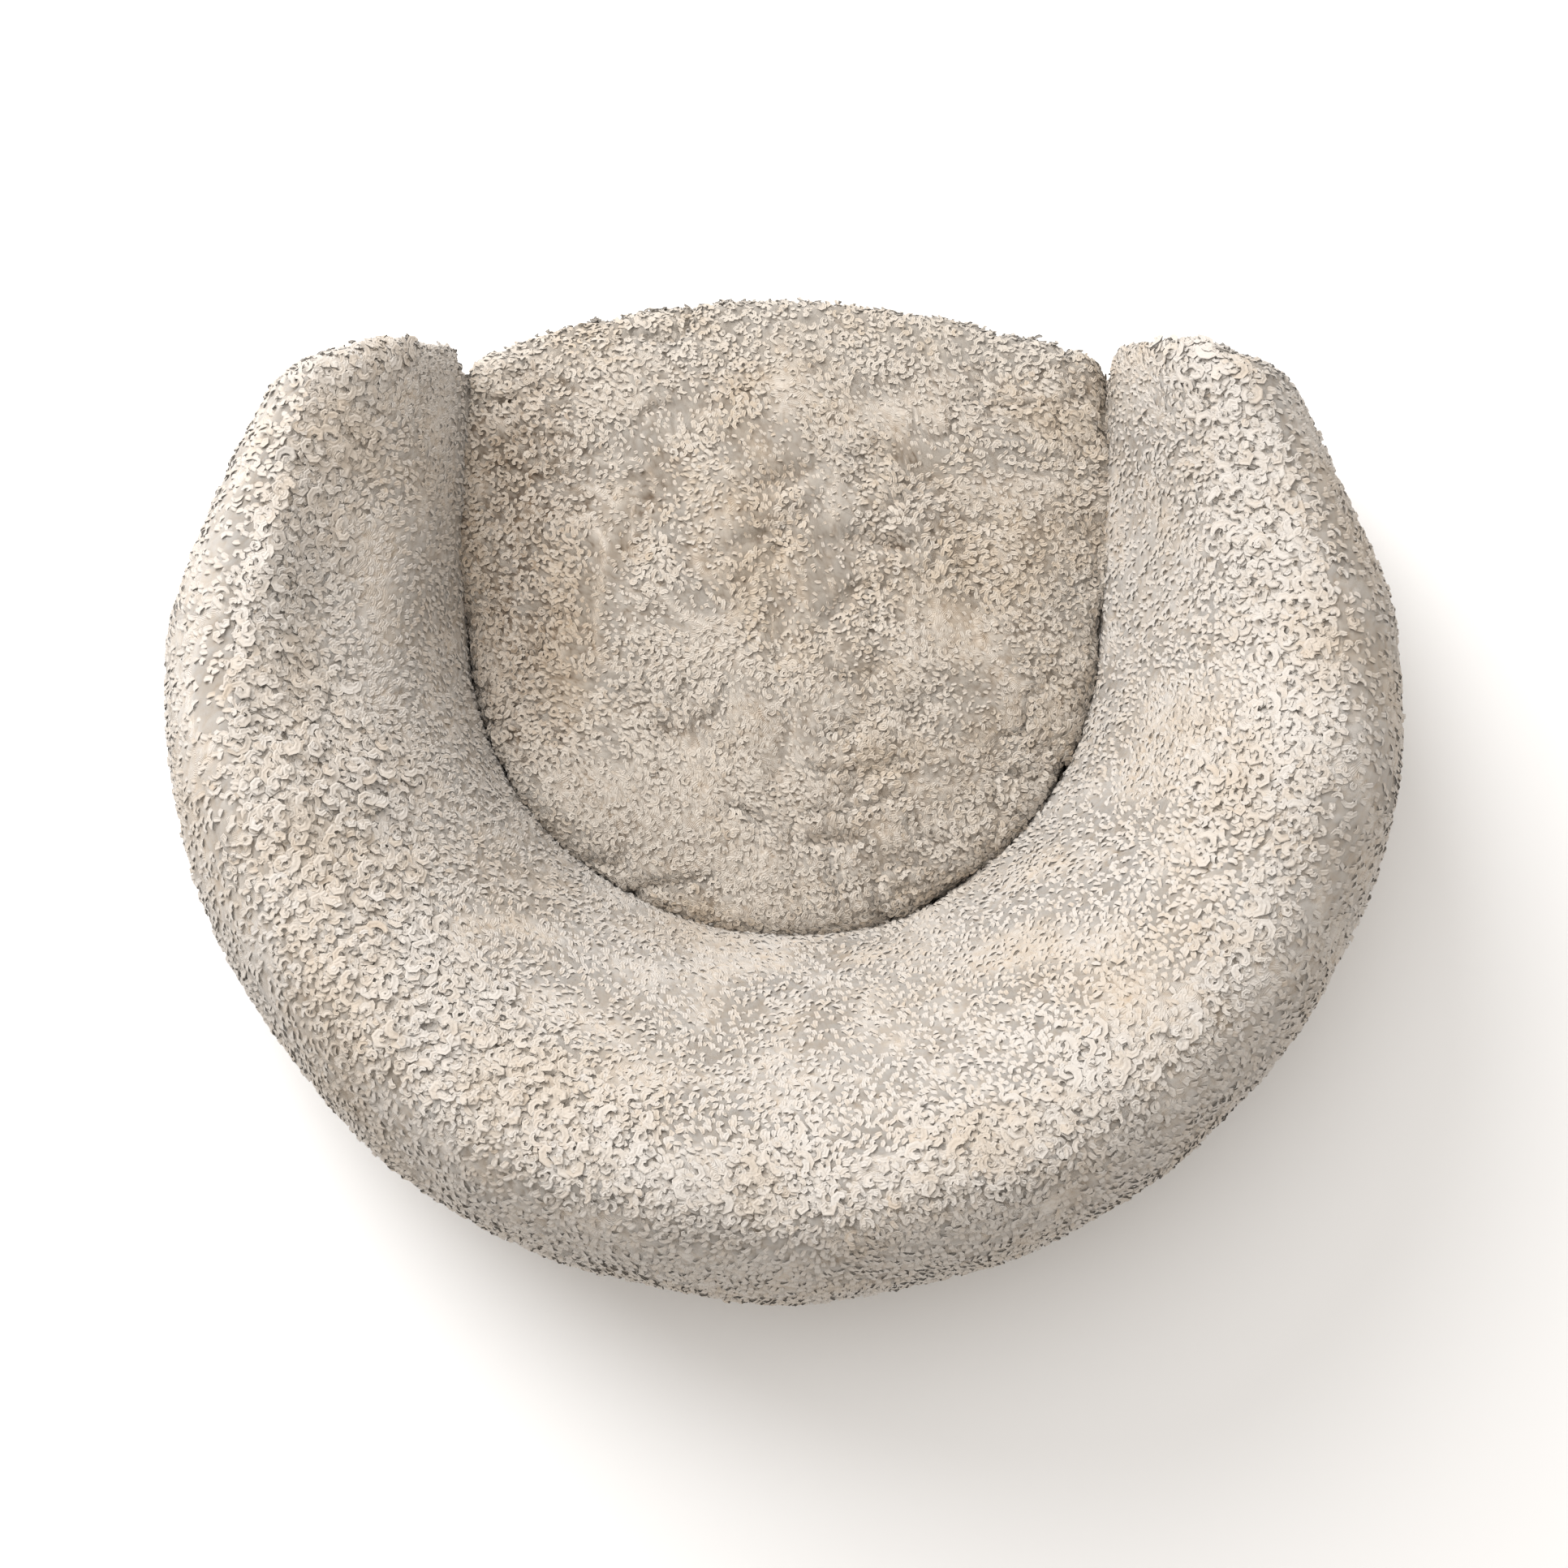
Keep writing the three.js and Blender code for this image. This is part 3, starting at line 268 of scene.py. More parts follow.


# %% [markdown]
# ## Wool
# Sheepskin is not one colour. The roots are a warm grey brown, the tips are almost white, and patches of the skin
# are more yellow. The gaps between locks, the underside of each lock and the cushion's creases are darker still, as
# painted shade, and the cushion has a painted arm shadow and a painted lighter front edge. Each vertex of a wool
# piece knows how far up its lock it is, and which strand it lies on, so the material can lay fine fibres along
# every lock.


# %% Wool material
def wool_material(name, gap, shade, tip, warm):
    material, tree, surface = start_material(name, 0.9, Sheen_Weight=0.25, Sheen_Roughness=0.5)
    surface.inputs["Sheen Tint"].default_value = (1.0, 0.97, 0.93, 1)
    surface.inputs["Specular IOR Level"].default_value = 0.12
    place = object_place(tree)
    pile = attribute(tree, "pile")
    tone = attribute(tree, "tone")
    fibres = (attribute(tree, "strand") * (2 * math.pi)).math("SINE")
    fuzz = noise(tree, place, 900.0, 2.0)
    fleck = noise(tree, place, 260.0, 3.0)
    mottle = noise(tree, place, 70.0, 3.0)
    wide = noise(tree, place, 14.0, 4.0)
    height = pile + fibres * 0.04 + (mottle - 0.5) * 0.4 + (fleck - 0.5) * 0.3 + (fuzz - 0.5) * 0.2
    height = (height + 0.04).clamped()
    # Low pile takes the gap colour: the wool's darker roots, and also painted shade between and under the locks.
    low = mix_colour(tree, (height * 2.5).clamped(), gap, shade)
    wool = mix_colour(tree, ((height - 0.3) * 1.6).clamped(), low, tip)
    warmth = (((wide - 0.45) * 4.0) + tone * 0.4).clamped()
    patched = mix_colour(tree, warmth, wool, mix_colour(tree, 1.0, wool, warm, "MULTIPLY"))
    connect(tree, patched, surface.inputs["Base Color"])
    strands = bump(tree, fibres * 0.8 + fuzz * 1.3 + fleck * 0.9, 0.3 * MM, 0.7)
    connect(tree, strands, surface.inputs["Normal"])
    return material


# Colours are gap, shade, tip and warm. Gap and shade are the wool's darker roots, and also painted shade in gaps
# and creases.
bolster_wool = wool_material(
    "bolster_wool", (0.46, 0.37, 0.28), (0.55, 0.475, 0.395), (0.60, 0.56, 0.515), (0.94, 0.89, 0.825)
)
cushion_wool = wool_material(
    "cushion_wool", (0.19, 0.135, 0.09), (0.42, 0.35, 0.28), (0.585, 0.53, 0.465), (0.91, 0.85, 0.77)
)

# %% [markdown]
# ## How the pile is shaped
# Wool grows in round clumps that stand a few millimetres high and lean on their neighbours.
# Hair particles can't be kept as a mesh, so the pile is a dense mesh that is pushed out into clumps: space is
# divided into uneven cells, each cell is one clump, and its edges are the dark gaps between clumps.


# %% Noise and cells in space
class ClumpField:
    """Uneven cells of one size, filling space: each cell is one clump of wool."""

    def __init__(self, size, seed, low, high):
        self.size = size
        self.low = np.array(low) - 3 * size
        counts = np.ceil((np.array(high) - self.low) / size).astype(int) + 4
        random = np.random.default_rng(seed)
        self.seeds = random.random((*counts, 3), dtype=np.float32)
        self.traits = random.random((*counts, 3), dtype=np.float32)

    def nearest(self, points):
        """For each point: its clump's traits, and the distances to the two nearest clump centres."""
        scaled = ((points - self.low) / self.size).astype(np.float32)
        cell = np.floor(scaled).astype(np.int32)
        first = np.full(len(points), 9.0, np.float32)
        second = np.full(len(points), 9.0, np.float32)
        home = np.zeros((len(points), 3), np.int32)
        for step in np.ndindex(3, 3, 3):
            near = cell + (np.array(step, np.int32) - 1)
            centre = near + self.seeds[near[:, 0], near[:, 1], near[:, 2]]
            away = scaled - centre
            distance = np.einsum("ij,ij->i", away, away)
            closer = distance < first
            second = np.where(closer, first, np.minimum(second, distance))
            first = np.where(closer, distance, first)
            home[closer] = near[closer]
        traits = self.traits[home[:, 0], home[:, 1], home[:, 2]]
        return traits, np.sqrt(first), np.sqrt(second)


def smooth_noise(points, size, seed):
    """A smooth random value from -1 to 1 at each point, with lumps about size across."""
    random = np.random.default_rng(seed)
    table = random.uniform(-1, 1, (32, 32, 32)).astype(np.float32)
    scaled = (points / size + 100).astype(np.float64)
    cell = np.floor(scaled).astype(np.int64)
    part = (scaled - cell).astype(np.float32)
    part = part * part * (3 - 2 * part)
    total = np.zeros(len(points), np.float32)
    for step in np.ndindex(2, 2, 2):
        weight = np.prod(np.where(np.array(step), part, 1 - part), axis=1)
        corner = (cell + np.array(step)) % 32
        total += weight * table[corner[:, 0], corner[:, 1], corner[:, 2]]
    return total * 1.6


def ramp(value, low, high):
    part = np.clip((value - low) / (high - low), 0, 1)
    return part * part * (3 - 2 * part)


# %% Clumps
KNOB_SIZE = 12 * MM  # long wool gathers into knobs of about this size
KNOB_HEIGHT = 3.6 * MM


def shape_pile(points, normals, nap, clump, relief, knobs):
    """Raises a smooth skin into soft clumps of wool. nap is the way the wool lies, clump the size of a clump.

    Returns the new points, how far up the pile each point is, and which strand it is on."""
    side = np.cross(normals, nap)
    warp = np.stack([smooth_noise(points, 7 * MM, seed) for seed in (1, 2, 3)], axis=1) * 1.6 * MM
    low, high = points.min(0), points.max(0)
    height = np.zeros(len(points), np.float32)
    for size, seed, share in ((clump, 11, 0.62), (clump * 0.55, 12, 0.38)):
        traits, near, next_near = ClumpField(size, seed, low, high).nearest(points + warp)
        edge = ramp(next_near - near, 0.0, 0.30)
        dome = np.sqrt(np.clip(1 - (near / 1.05) ** 2, 0, 1)) * (0.35 + 0.65 * edge)
        height += share * dome * (0.55 + 0.7 * traits[:, 1])
    traits, near, next_near = ClumpField(KNOB_SIZE, 13, low, high).nearest(points + 2 * warp)
    knob = np.sqrt(np.clip(1 - near**2, 0, 1)) * ramp(next_near - near, 0.0, 0.35) * (0.4 + traits[:, 2])
    along = np.einsum("ij,ij->i", points, nap)
    across = np.einsum("ij,ij->i", points, side)
    rough = smooth_noise(points, 3 * MM, 7) * 0.13 + smooth_noise(points, 11 * MM, 8) * 0.14
    height = height + rough
    # The pile value is low in the gaps between clumps and knobs, so the colour there is darker: the wool's darker
    # roots, and painted shade.
    pile = np.clip(0.15 + height * 0.95 + knobs * (knob - 0.5) * 0.5, 0, 1)
    strand = across / (1.3 * MM) + smooth_noise(points, 4 * MM, 9) * 1.2 + along * 20
    deep = (height - 0.55) * relief + (knob - 0.45) * knobs * KNOB_HEIGHT
    return points + normals * deep[:, None], pile, strand


# %% [markdown]
# ## Locks
# Over the clumps lie the locks themselves. A short lock is a wavy tuft that lies along the nap with both its ends
# in the wool. A curl is a little corkscrew that stands up and winds in towards its tip. Each one is a three-sided
# tube of one or two dozen faces, swept along its own curve, and thousands are made at once as one array.

# %% Lock shapes
CURL_RINGS = 7
TUFT_RINGS = 5
GRAIN_RINGS = 4
LOCK_SIDES = 3
LOCK_RELIEF = 0.3  # wool lets light through, so a lock is shaded less strongly than its shape


def grain_curves(count, length, random):
    """Short, nearly straight tufts that overlap like scales: a deep root, a plump middle and a raised tip."""
    t = np.linspace(0, 1, GRAIN_RINGS)[None, :]
    heading = random.normal(0, 0.55, (count, 1)) + random.uniform(-1.3, 1.3, (count, 1)) * (t - 0.4)
    step = length * random.uniform(0.75, 1.3, (count, 1)) / GRAIN_RINGS
    x = np.cumsum(np.cos(heading) * step, axis=1)
    y = np.cumsum(np.sin(heading) * step, axis=1)
    z = length * random.uniform(0.22, 0.40, (count, 1)) * np.sin(math.pi * 0.72 * t) - 0.22 * length
    path = np.stack([x - 0.4 * length, y, z], axis=-1)
    plump = 0.3 + 0.7 * np.sin(math.pi * (0.12 + 0.78 * t))
    width = length * random.uniform(0.24, 0.33, (count, 1)) * plump
    return path, width


def lock_curves(count, length, random):
    """Short wavy tufts, in a frame of along, across and up, and their half widths."""
    t = np.linspace(0, 1, TUFT_RINGS)[None, :]
    bend = random.uniform(-2.4, 2.4, (count, 1))
    wave = random.uniform(0.1, 0.5, (count, 1)) * np.sin(2 * math.pi * t + random.uniform(0, 6, (count, 1)))
    heading = random.normal(0, 0.7, (count, 1)) + bend * (t - 0.5) + wave
    reach_of = length * random.uniform(0.7, 1.35, (count, 1)) / TUFT_RINGS
    x = np.cumsum(np.cos(heading) * reach_of, axis=1)
    y = np.cumsum(np.sin(heading) * reach_of, axis=1)
    lift = length * random.uniform(0.16, 0.34, (count, 1))
    z = lift * np.sin(math.pi * (0.08 + 0.84 * t)) - 0.20 * length
    middle = TUFT_RINGS // 2
    path = np.stack([x - x[:, middle, None], y - y[:, middle, None], z], axis=-1)
    plump = 0.3 + 0.7 * np.sin(math.pi * (0.08 + 0.84 * t))
    width = length * random.uniform(0.25, 0.34, (count, 1)) * plump
    return path, width


def curl_curves(count, length, random):
    """Corkscrews that stand up and wind inwards, in the same frame."""
    t = np.linspace(0, 1, CURL_RINGS)[None, :]
    turn = random.uniform(4.2, 7.4, (count, 1)) * random.choice((-1, 1), (count, 1))
    angle = random.uniform(0, 2 * math.pi, (count, 1)) + turn * t
    radius = length * random.uniform(0.26, 0.42, (count, 1)) * (1 - 0.62 * t)
    lean = length * random.uniform(0.0, 0.45, (count, 1)) * t
    rise = length * random.uniform(0.28, 0.52, (count, 1))
    path = np.stack(
        [radius * np.cos(angle) + lean, radius * np.sin(angle), rise * t**0.8 - 0.16 * length], axis=-1
    )
    plump = 0.4 + 0.6 * np.sin(math.pi * (0.15 + 0.75 * t))
    width = length * random.uniform(0.15, 0.22, (count, 1)) * plump
    return path, width


# %% Plant the locks
def plant(points, normals, nap, dim, chance, spacing, curves, length, seed):
    """Sets locks about spacing apart on a skin.

    Returns their points, walls, ends and shading normals, and each point's pile, tone and strand."""
    random = np.random.default_rng(seed)
    order = random.permutation(len(points))
    order = order[random.random(len(points)) < chance[order]]
    cells = np.floor(points[order] / spacing).astype(np.int64)
    keys = cells @ np.array((1, 4099, 16785407))
    first = np.unique(keys, return_index=True)[1]
    chosen = order[np.sort(first)]
    count = len(chosen)
    root, up, along = points[chosen], normals[chosen], nap[chosen]
    across = np.cross(up, along)
    size = length[chosen] if np.ndim(length) else np.full(count, length)
    path, width = curves(count, 1.0, random)
    path, width = path * size[:, None, None], width * size[:, None]
    frame = np.stack([along, across, up], axis=1)
    path = root[:, None] + np.einsum("nsk,nkj->nsj", path, frame)
    tangent = np.gradient(path, axis=1)
    tangent /= np.maximum(np.linalg.norm(tangent, axis=2, keepdims=True), 1e-9)
    beside = np.cross(tangent, up[:, None])
    beside /= np.maximum(np.linalg.norm(beside, axis=2, keepdims=True), 1e-9)
    above = np.cross(beside, tangent)
    around = np.arange(LOCK_SIDES) * 2 * math.pi / LOCK_SIDES - math.pi / 2
    ring = np.cos(around)[:, None] * beside[:, :, None] + np.sin(around)[:, None] * above[:, :, None]
    squashed = ring - 0.3 * np.sin(around)[:, None] * above[:, :, None]
    made = path[:, :, None] + squashed * width[:, :, None, None]
    shading = ring * LOCK_RELIEF + up[:, None, None] * (1 - LOCK_RELIEF)
    rings = path.shape[1]
    index = np.arange(count * rings * LOCK_SIDES).reshape(count, rings, LOCK_SIDES)
    turned = np.roll(index, -1, axis=2)
    walls = np.stack([index[:, :-1], index[:, 1:], turned[:, 1:], turned[:, :-1]], axis=-1)
    ends = np.concatenate([index[:, 0], index[:, -1, ::-1]])
    t = np.linspace(0, 1, rings)[None, :, None]
    # Each lock is painted lighter towards its tip and on its top side, and darker at its root and underside: partly
    # the wool's darker roots, partly painted shade. The painted shade mask is taken off too.
    depth = 0.5 + 0.5 * np.sin(around)[None, None, :]
    pile = 0.32 + 0.36 * np.sqrt(t) + 0.28 * depth + random.normal(0, 0.08, (count, 1, 1))
    pile = pile - dim[chosen][:, None, None]
    tone = np.broadcast_to(random.normal(0, 0.6, (count, 1, 1)), pile.shape)
    strand = np.broadcast_to(np.arange(LOCK_SIDES)[None, None, :] * 1.25, pile.shape)
    shape = made.reshape(-1, 3), walls.reshape(-1, 4), ends, shading.reshape(-1, 3)
    return (*shape, pile.ravel(), tone.ravel(), strand.ravel())


# %% [markdown]
# ## From a coarse form to a dense skin
# A padded form is described by a coarse grid of points, as a cutter would describe a panel. Splines through the
# grid give the dense skin that carries the pile. Behind it lies a coarse leather side, joined round the edge, so
# that every wool piece is one closed mesh.


# %% Splines through a grid
def spline_weights(knots, samples):
    """A matrix that takes values at evenly spaced knots to samples along the smooth curve through them."""
    place = np.linspace(0, knots - 1, samples)
    start = np.clip(np.floor(place).astype(int), 0, knots - 2)
    t = place - start
    basis = np.stack(
        [
            -0.5 * t**3 + t**2 - 0.5 * t,
            1.5 * t**3 - 2.5 * t**2 + 1,
            -1.5 * t**3 + 2 * t**2 + 0.5 * t,
            0.5 * t**3 - 0.5 * t**2,
        ],
        axis=1,
    )
    weights = np.zeros((samples, knots))
    rows = np.arange(samples)
    for shift in range(4):
        column = start + shift - 1
        value = basis[:, shift]
        inside = np.clip(column, 0, knots - 1)
        np.add.at(weights, (rows, inside), value)
        # A straight run-out past each end keeps the edge from bending.
        before = column < 0
        np.add.at(weights, (rows[before], np.zeros(before.sum(), int)), value[before])
        np.add.at(weights, (rows[before], np.ones(before.sum(), int)), -value[before])
        after = column > knots - 1
        np.add.at(weights, (rows[after], np.full(after.sum(), knots - 1)), value[after])
        np.add.at(weights, (rows[after], np.full(after.sum(), knots - 2)), -value[after])
    return weights


def dense_grid(grid, rows, columns):
    across = np.einsum("ab,bcd->acd", spline_weights(grid.shape[0], rows), grid)
    return np.einsum("ab,cbd->cad", spline_weights(grid.shape[1], columns), across)


def grid_normals(grid):
    """Unit normals of a grid whose second direction, turned over its first, points out."""
    along = np.gradient(grid, axis=0)
    across = np.gradient(grid, axis=1)
    normal = np.cross(across, along)
    length = np.linalg.norm(normal, axis=2, keepdims=True)
    return normal / np.maximum(length, 1e-12)


# %% Closed wool pieces
LEATHER_STEP = 10  # the leather side has one point for so many of the wool side
LEATHER_DEPTH = 0.75  # it lies this deep behind the wool's foot, as a share of the skin's thickness


def edge_path(rows, columns, step=1):
    """The grid's boundary as (row, column) pairs, once round."""
    top = [(0, j) for j in range(0, columns - 1, step)]
    far = [(i, columns - 1) for i in range(0, rows - 1, step)]
    bottom = [(rows - 1, j) for j in range(columns - 1, 0, -step)]
    near = [(i, 0) for i in range(rows - 1, 0, -step)]
    return top + far + bottom + near


def grid_faces(rows, columns, start, flip):
    index = start + np.arange(rows * columns).reshape(rows, columns)
    corners = [index[:-1, :-1], index[:-1, 1:], index[1:, 1:], index[1:, :-1]]
    if flip:
        corners = corners[::-1]
    return np.stack([corner.ravel() for corner in corners], axis=1)


def closed_skin(front, back):
    """The points and faces of one closed mesh: a dense outer grid and a coarse grid that lies behind it."""
    rows, columns = front.shape[:2]
    few_rows, few_columns = back.shape[:2]
    start = rows * columns
    quads = np.concatenate(
        [grid_faces(rows, columns, 0, False), grid_faces(few_rows, few_columns, start, True)]
    )
    outer = [i * columns + j for i, j in edge_path(rows, columns)]
    inner = [start + i * few_columns + j for i, j in edge_path(few_rows, few_columns)]
    step = len(outer) // len(inner)
    triangles = []
    for k, corner in enumerate(inner):
        following = inner[(k + 1) % len(inner)]
        fan = [outer[(k * step + s) % len(outer)] for s in range(step + 1)]
        half = step // 2
        for s in range(step):
            triangles.append((fan[s + 1], fan[s], corner if s < half else following))
        triangles.append((fan[half], corner, following))
    return np.concatenate([front.reshape(-1, 3), back.reshape(-1, 3)]), quads, triangles


def store(mesh, name, values):
    """Keeps one number for each vertex, for the material to read."""
    layer = mesh.attributes.new(name, "FLOAT", "POINT")
    layer.data.foreach_set("value", np.asarray(values, np.float32))


def rounded(count, step):
    """The nearest number of points that the leather side's points divide evenly."""
    return max(2, round((count - 1) / step)) * step + 1


def wool_piece(name, grid, spacing, looks, material):
    """Grows wool on a coarse grid. looks(form, normals) gives the nap, the clumps, the locks and any painted shade.
    """
    lengths = [
        np.linalg.norm(np.diff(grid, axis=axis), axis=2).sum(axis=axis).max() for axis in (0, 1)
    ]
    rows, columns = (rounded(length / spacing, LEATHER_STEP) for length in lengths)
    form = dense_grid(grid, rows, columns)
    normals = grid_normals(form)
    wool = looks(form, normals)
    flat_normals = normals.reshape(-1, 3)
    moved, pile, strand = shape_pile(
        form.reshape(-1, 3), flat_normals, wool["nap"], wool["clump"], wool["relief"], wool["knobs"]
    )
    leather = (form - normals * LEATHER_DEPTH * SKIN)[::LEATHER_STEP, ::LEATHER_STEP]
    points, quads, triangles = closed_skin(moved.reshape(form.shape), leather)
    points, quads = [points], [quads]
    behind = np.ones(len(points[0]) - len(pile))
    # Painted shade: lowers the pile value, so the wool's colour is painted darker where shade is painted in, and
    # lighter where the value is negative.
    dim = wool.get("dim", np.zeros(len(pile)))
    piles, tones, strands = [pile - dim, behind], [np.zeros(len(points[0]))], [strand, behind]
    shading = []
    for number, (chance, gap, curves, length) in enumerate(wool["locks"]):
        grown = plant(moved, flat_normals, wool["nap"], dim, chance, gap, curves, length, 100 + number)
        start = sum(len(part) for part in points)
        quads.append(grown[1] + start)
        triangles += (grown[2] + start).tolist()
        points.append(grown[0])
        shading.append(grown[3])
        for kept, values in zip((piles, tones, strands), grown[4:]):
            kept.append(values)
    mesh = bpy.data.meshes.new(name)
    faces = [tuple(quad) for quad in np.concatenate(quads).tolist()] + triangles
    mesh.from_pydata(np.concatenate(points).tolist(), [], faces)
    mesh.shade_smooth()
    own = np.empty(len(mesh.vertices) * 3, np.float32)
    mesh.vertex_normals.foreach_get("vector", own)
    own = own.reshape(-1, 3)
    own[len(points[0]) :] = np.concatenate(shading)
    own /= np.maximum(np.linalg.norm(own, axis=1, keepdims=True), 1e-9)
    mesh.normals_split_custom_set_from_vertices(own.tolist())
    for kind, values in zip(("pile", "tone", "strand"), (piles, tones, strands)):
        store(mesh, kind, np.concatenate(values))
    mesh.materials.append(material)
    piece = bpy.data.objects.new(name, mesh)
    bpy.context.scene.collection.objects.link(piece)
    flat_faces = sum(len(polygon.vertices) - 2 for polygon in mesh.polygons)
    print(name, rows, "x", columns, "points,", flat_faces, "triangles")
    return piece


# %% [markdown]
# ## The bolster's form
# The bolster is cut so that its outside is part of a circle and its well is a smaller one. Its section stands
# high at the back and lower at the mouth. Every section is the same pair of curves: up the inner face to the
# crest, and over the crest down to the plinth, where the two panels of skin meet in a seam at the crest.


# %% Sections of the bolster
def reach(angle, radius, centre_y):
    """From the fan's centre to a circle on the Y axis, along a ray at an angle from +Y."""
    shift = centre_y - FAN_Y
    along = math.cos(angle) * shift
    return along + math.sqrt(radius**2 - shift**2 + along**2)


def arm_half_width(y, inset=0.0):
    along = FAN_Y - y
    drawn = ARM_TAPER * (math.hypot(along, ARM_BLEND) - ARM_BLEND)
    return reach(math.pi / 2, BED_RADIUS - inset, ARC_Y) - drawn


BACK_CREST = 0.757  # place of the crest across the section, at the back and at the mouth
MOUTH_CREST = 0.66
BULGE_SHARE = 0.48  # height of the fullest part of the outside, as a share of the local height
ARM_SHARE = 0.62  # where the arms begin, from the back's middle (0) to the mouth (1)
FACE_LEAN, FACE_RISE = 0.16, 0.45  # inner face: how far across, and how far up, it first heads
FACE_FULL = 0.6  # and where it levels off towards the crest
SHOULDER_FULL, OUTSIDE_FULL = 0.62, 0.6  # over the crest, and above and below the fullest part
FOOT_FULL, FOOT_RISE = 0.4, 0.25  # at the plinth, across and up


def crest_height(share):
    return MOUTH_CREST_Z + (BACK_CREST_Z - MOUTH_CREST_Z) * (0.5 + 0.5 * math.cos(math.pi * share))


def station(distance, arm_length, fan_length):
    """The section at a distance along the C from the +X arm's end: where it stands and how wide it is."""
    side = 1 if distance < arm_length + fan_length / 2 else -1
    to_end = min(distance, 2 * arm_length + fan_length - distance)
    if to_end < arm_length:
        y = ARM_END_Y + to_end
        return {
            "origin": np.array((0, y)),
            "way": np.array((side, 0)),
            "inner": math.sqrt(WELL_RADIUS**2 - max(0, y - WELL_Y) ** 2),
            "outer": arm_half_width(y),
            "foot": arm_half_width(y, BED_RADIUS - PLINTH_RADIUS),
            "share": 1 - (1 - ARM_SHARE) * to_end / arm_length,
            "to_end": to_end,
        }
    angle = math.pi * (0.5 - (distance - arm_length) / fan_length)
    return {
        "origin": np.array((0, FAN_Y)),
        "way": np.array((math.sin(angle), math.cos(angle))),
        "inner": reach(angle, WELL_RADIUS, WELL_Y),
        "outer": reach(angle, BED_RADIUS, ARC_Y),
        "foot": reach(angle, PLINTH_RADIUS, ARC_Y),
        "share": ARM_SHARE * abs(angle) / (math.pi / 2),
        "to_end": to_end,
    }


def bezier(a, b, c, d, count=60):
    t = np.linspace(0, 1, count)[:, None]
    a, b, c, d = (np.array(p, float) for p in (a, b, c, d))
    return (1 - t) ** 3 * a + 3 * (1 - t) ** 2 * t * b + 3 * (1 - t) * t**2 * c + t**3 * d


def evenly(path, count):
    """The same line with its points at even distances."""
    steps = np.linalg.norm(np.diff(path, axis=0), axis=1)
    run = np.concatenate([[0], np.cumsum(steps)])
    places = np.linspace(0, run[-1], count)
    return np.stack([np.interp(places, run, path[:, k]) for k in range(2)], axis=1)


def section_lines(at):
    """The section's inner face and outside, as (distance across from the well, height)."""
    width = at["outer"] - at["inner"]
    foot = at["foot"] - at["inner"]
    high = crest_height(at["share"])
    to_back = math.cos(math.pi / 2 * at["share"]) ** 2
    crest = width * (MOUTH_CREST + (BACK_CREST - MOUTH_CREST) * to_back)
    bulge = high * BULGE_SHARE
    rise = high - WALL_TOP
    face = bezier(
        (0, WALL_TOP),
        (FACE_LEAN * crest, WALL_TOP + FACE_RISE * rise),
        (FACE_FULL * crest, high),
        (crest, high),
    )
    inner = np.concatenate([[(0, LINING_TOP)], face])
    over = bezier(
        (crest, high),
        (crest + (width - crest) * SHOULDER_FULL, high),
        (width, bulge + (high - bulge) * OUTSIDE_FULL),
        (width, bulge),
    )
    down = bezier(
        (width, bulge),
        (width, PLINTH_TOP + (bulge - PLINTH_TOP) * OUTSIDE_FULL),
        (foot + (width - foot) * FOOT_FULL, PLINTH_TOP + (bulge - PLINTH_TOP) * FOOT_RISE),
        (foot, PLINTH_TOP),
    )
    return inner, np.concatenate([over, down[1:]])


def place_section(at, line, shrink):
    """Puts a section's line into the bed, drawn in from the outside by shrink, as at an arm's rounded end."""
    narrow = 1 - shrink / (at["outer"] - at["inner"] - END_PIVOT)
    lower = 1 - shrink / (crest_height(at["share"]) - PLINTH_TOP)
    distance = at["inner"] + END_PIVOT + (line[:, 0] - END_PIVOT) * narrow
    flat = at["origin"] + distance[:, None] * at["way"]
    height = line[:, 1] - np.maximum(0, line[:, 1] - PLINTH_TOP) * (1 - lower)
    return np.column_stack([flat, height])


ARM_LENGTH = FAN_Y - ARM_END_Y
FAN_LENGTH = math.pi * (BED_RADIUS - 50 * MM)
COARSE = 10 * MM


def station_distances():
    """Where the sections stand: closer together round the arms' rounded ends."""
    turns = np.linspace(0, math.pi / 2, 7)[:-1]
    ends = END_ROUND * (1 - np.cos(turns))
    whole = 2 * ARM_LENGTH + FAN_LENGTH
    count = round((whole - 2 * END_ROUND) / COARSE)
    middle = np.linspace(END_ROUND, whole - END_ROUND, count + 1)
    return np.concatenate([ends, middle, (whole - ends)[::-1]])


def bolster_grids():
    """Coarse grids of the inner panel and the outer panel, from the +X arm round to the -X arm."""
    inner_rows, outer_rows = [], []
    for distance in station_distances():
        at = station(distance, ARM_LENGTH, FAN_LENGTH)
        inside = max(0.0, 1 - at["to_end"] / END_ROUND)
        shrink = END_ROUND * (1 - math.sqrt(max(0.0, 1 - inside**2)))
        inner, outer = section_lines(at)
        inner_rows.append(place_section(at, evenly(inner, 27), shrink))
        outer_rows.append(place_section(at, evenly(outer, 31), shrink))
    return np.array(inner_rows), np.array(outer_rows)


inner_grid, outer_grid = bolster_grids()
print("bolster grids", inner_grid.shape, outer_grid.shape)


# %% [markdown]
# ## Soft hollows and lumps
# Stuffed wool is never even. The bolster has slow lumps a hand's width across, and the skin is worn into a soft
# hollow on one arm where the pet leans, with a fold beside it. They are pressed into the coarse form.


# %% Press the form
def press(grid, normals, centre, radii, depth):
    """Pushes a soft oval hollow (or a lump, with a negative depth) into a form, seen from above."""
    away = (grid[..., :2] - np.array(centre)) / np.array(radii)
    amount = np.exp(-np.einsum("...i,...i->...", away, away))
    return grid - normals * (amount * depth)[..., None]


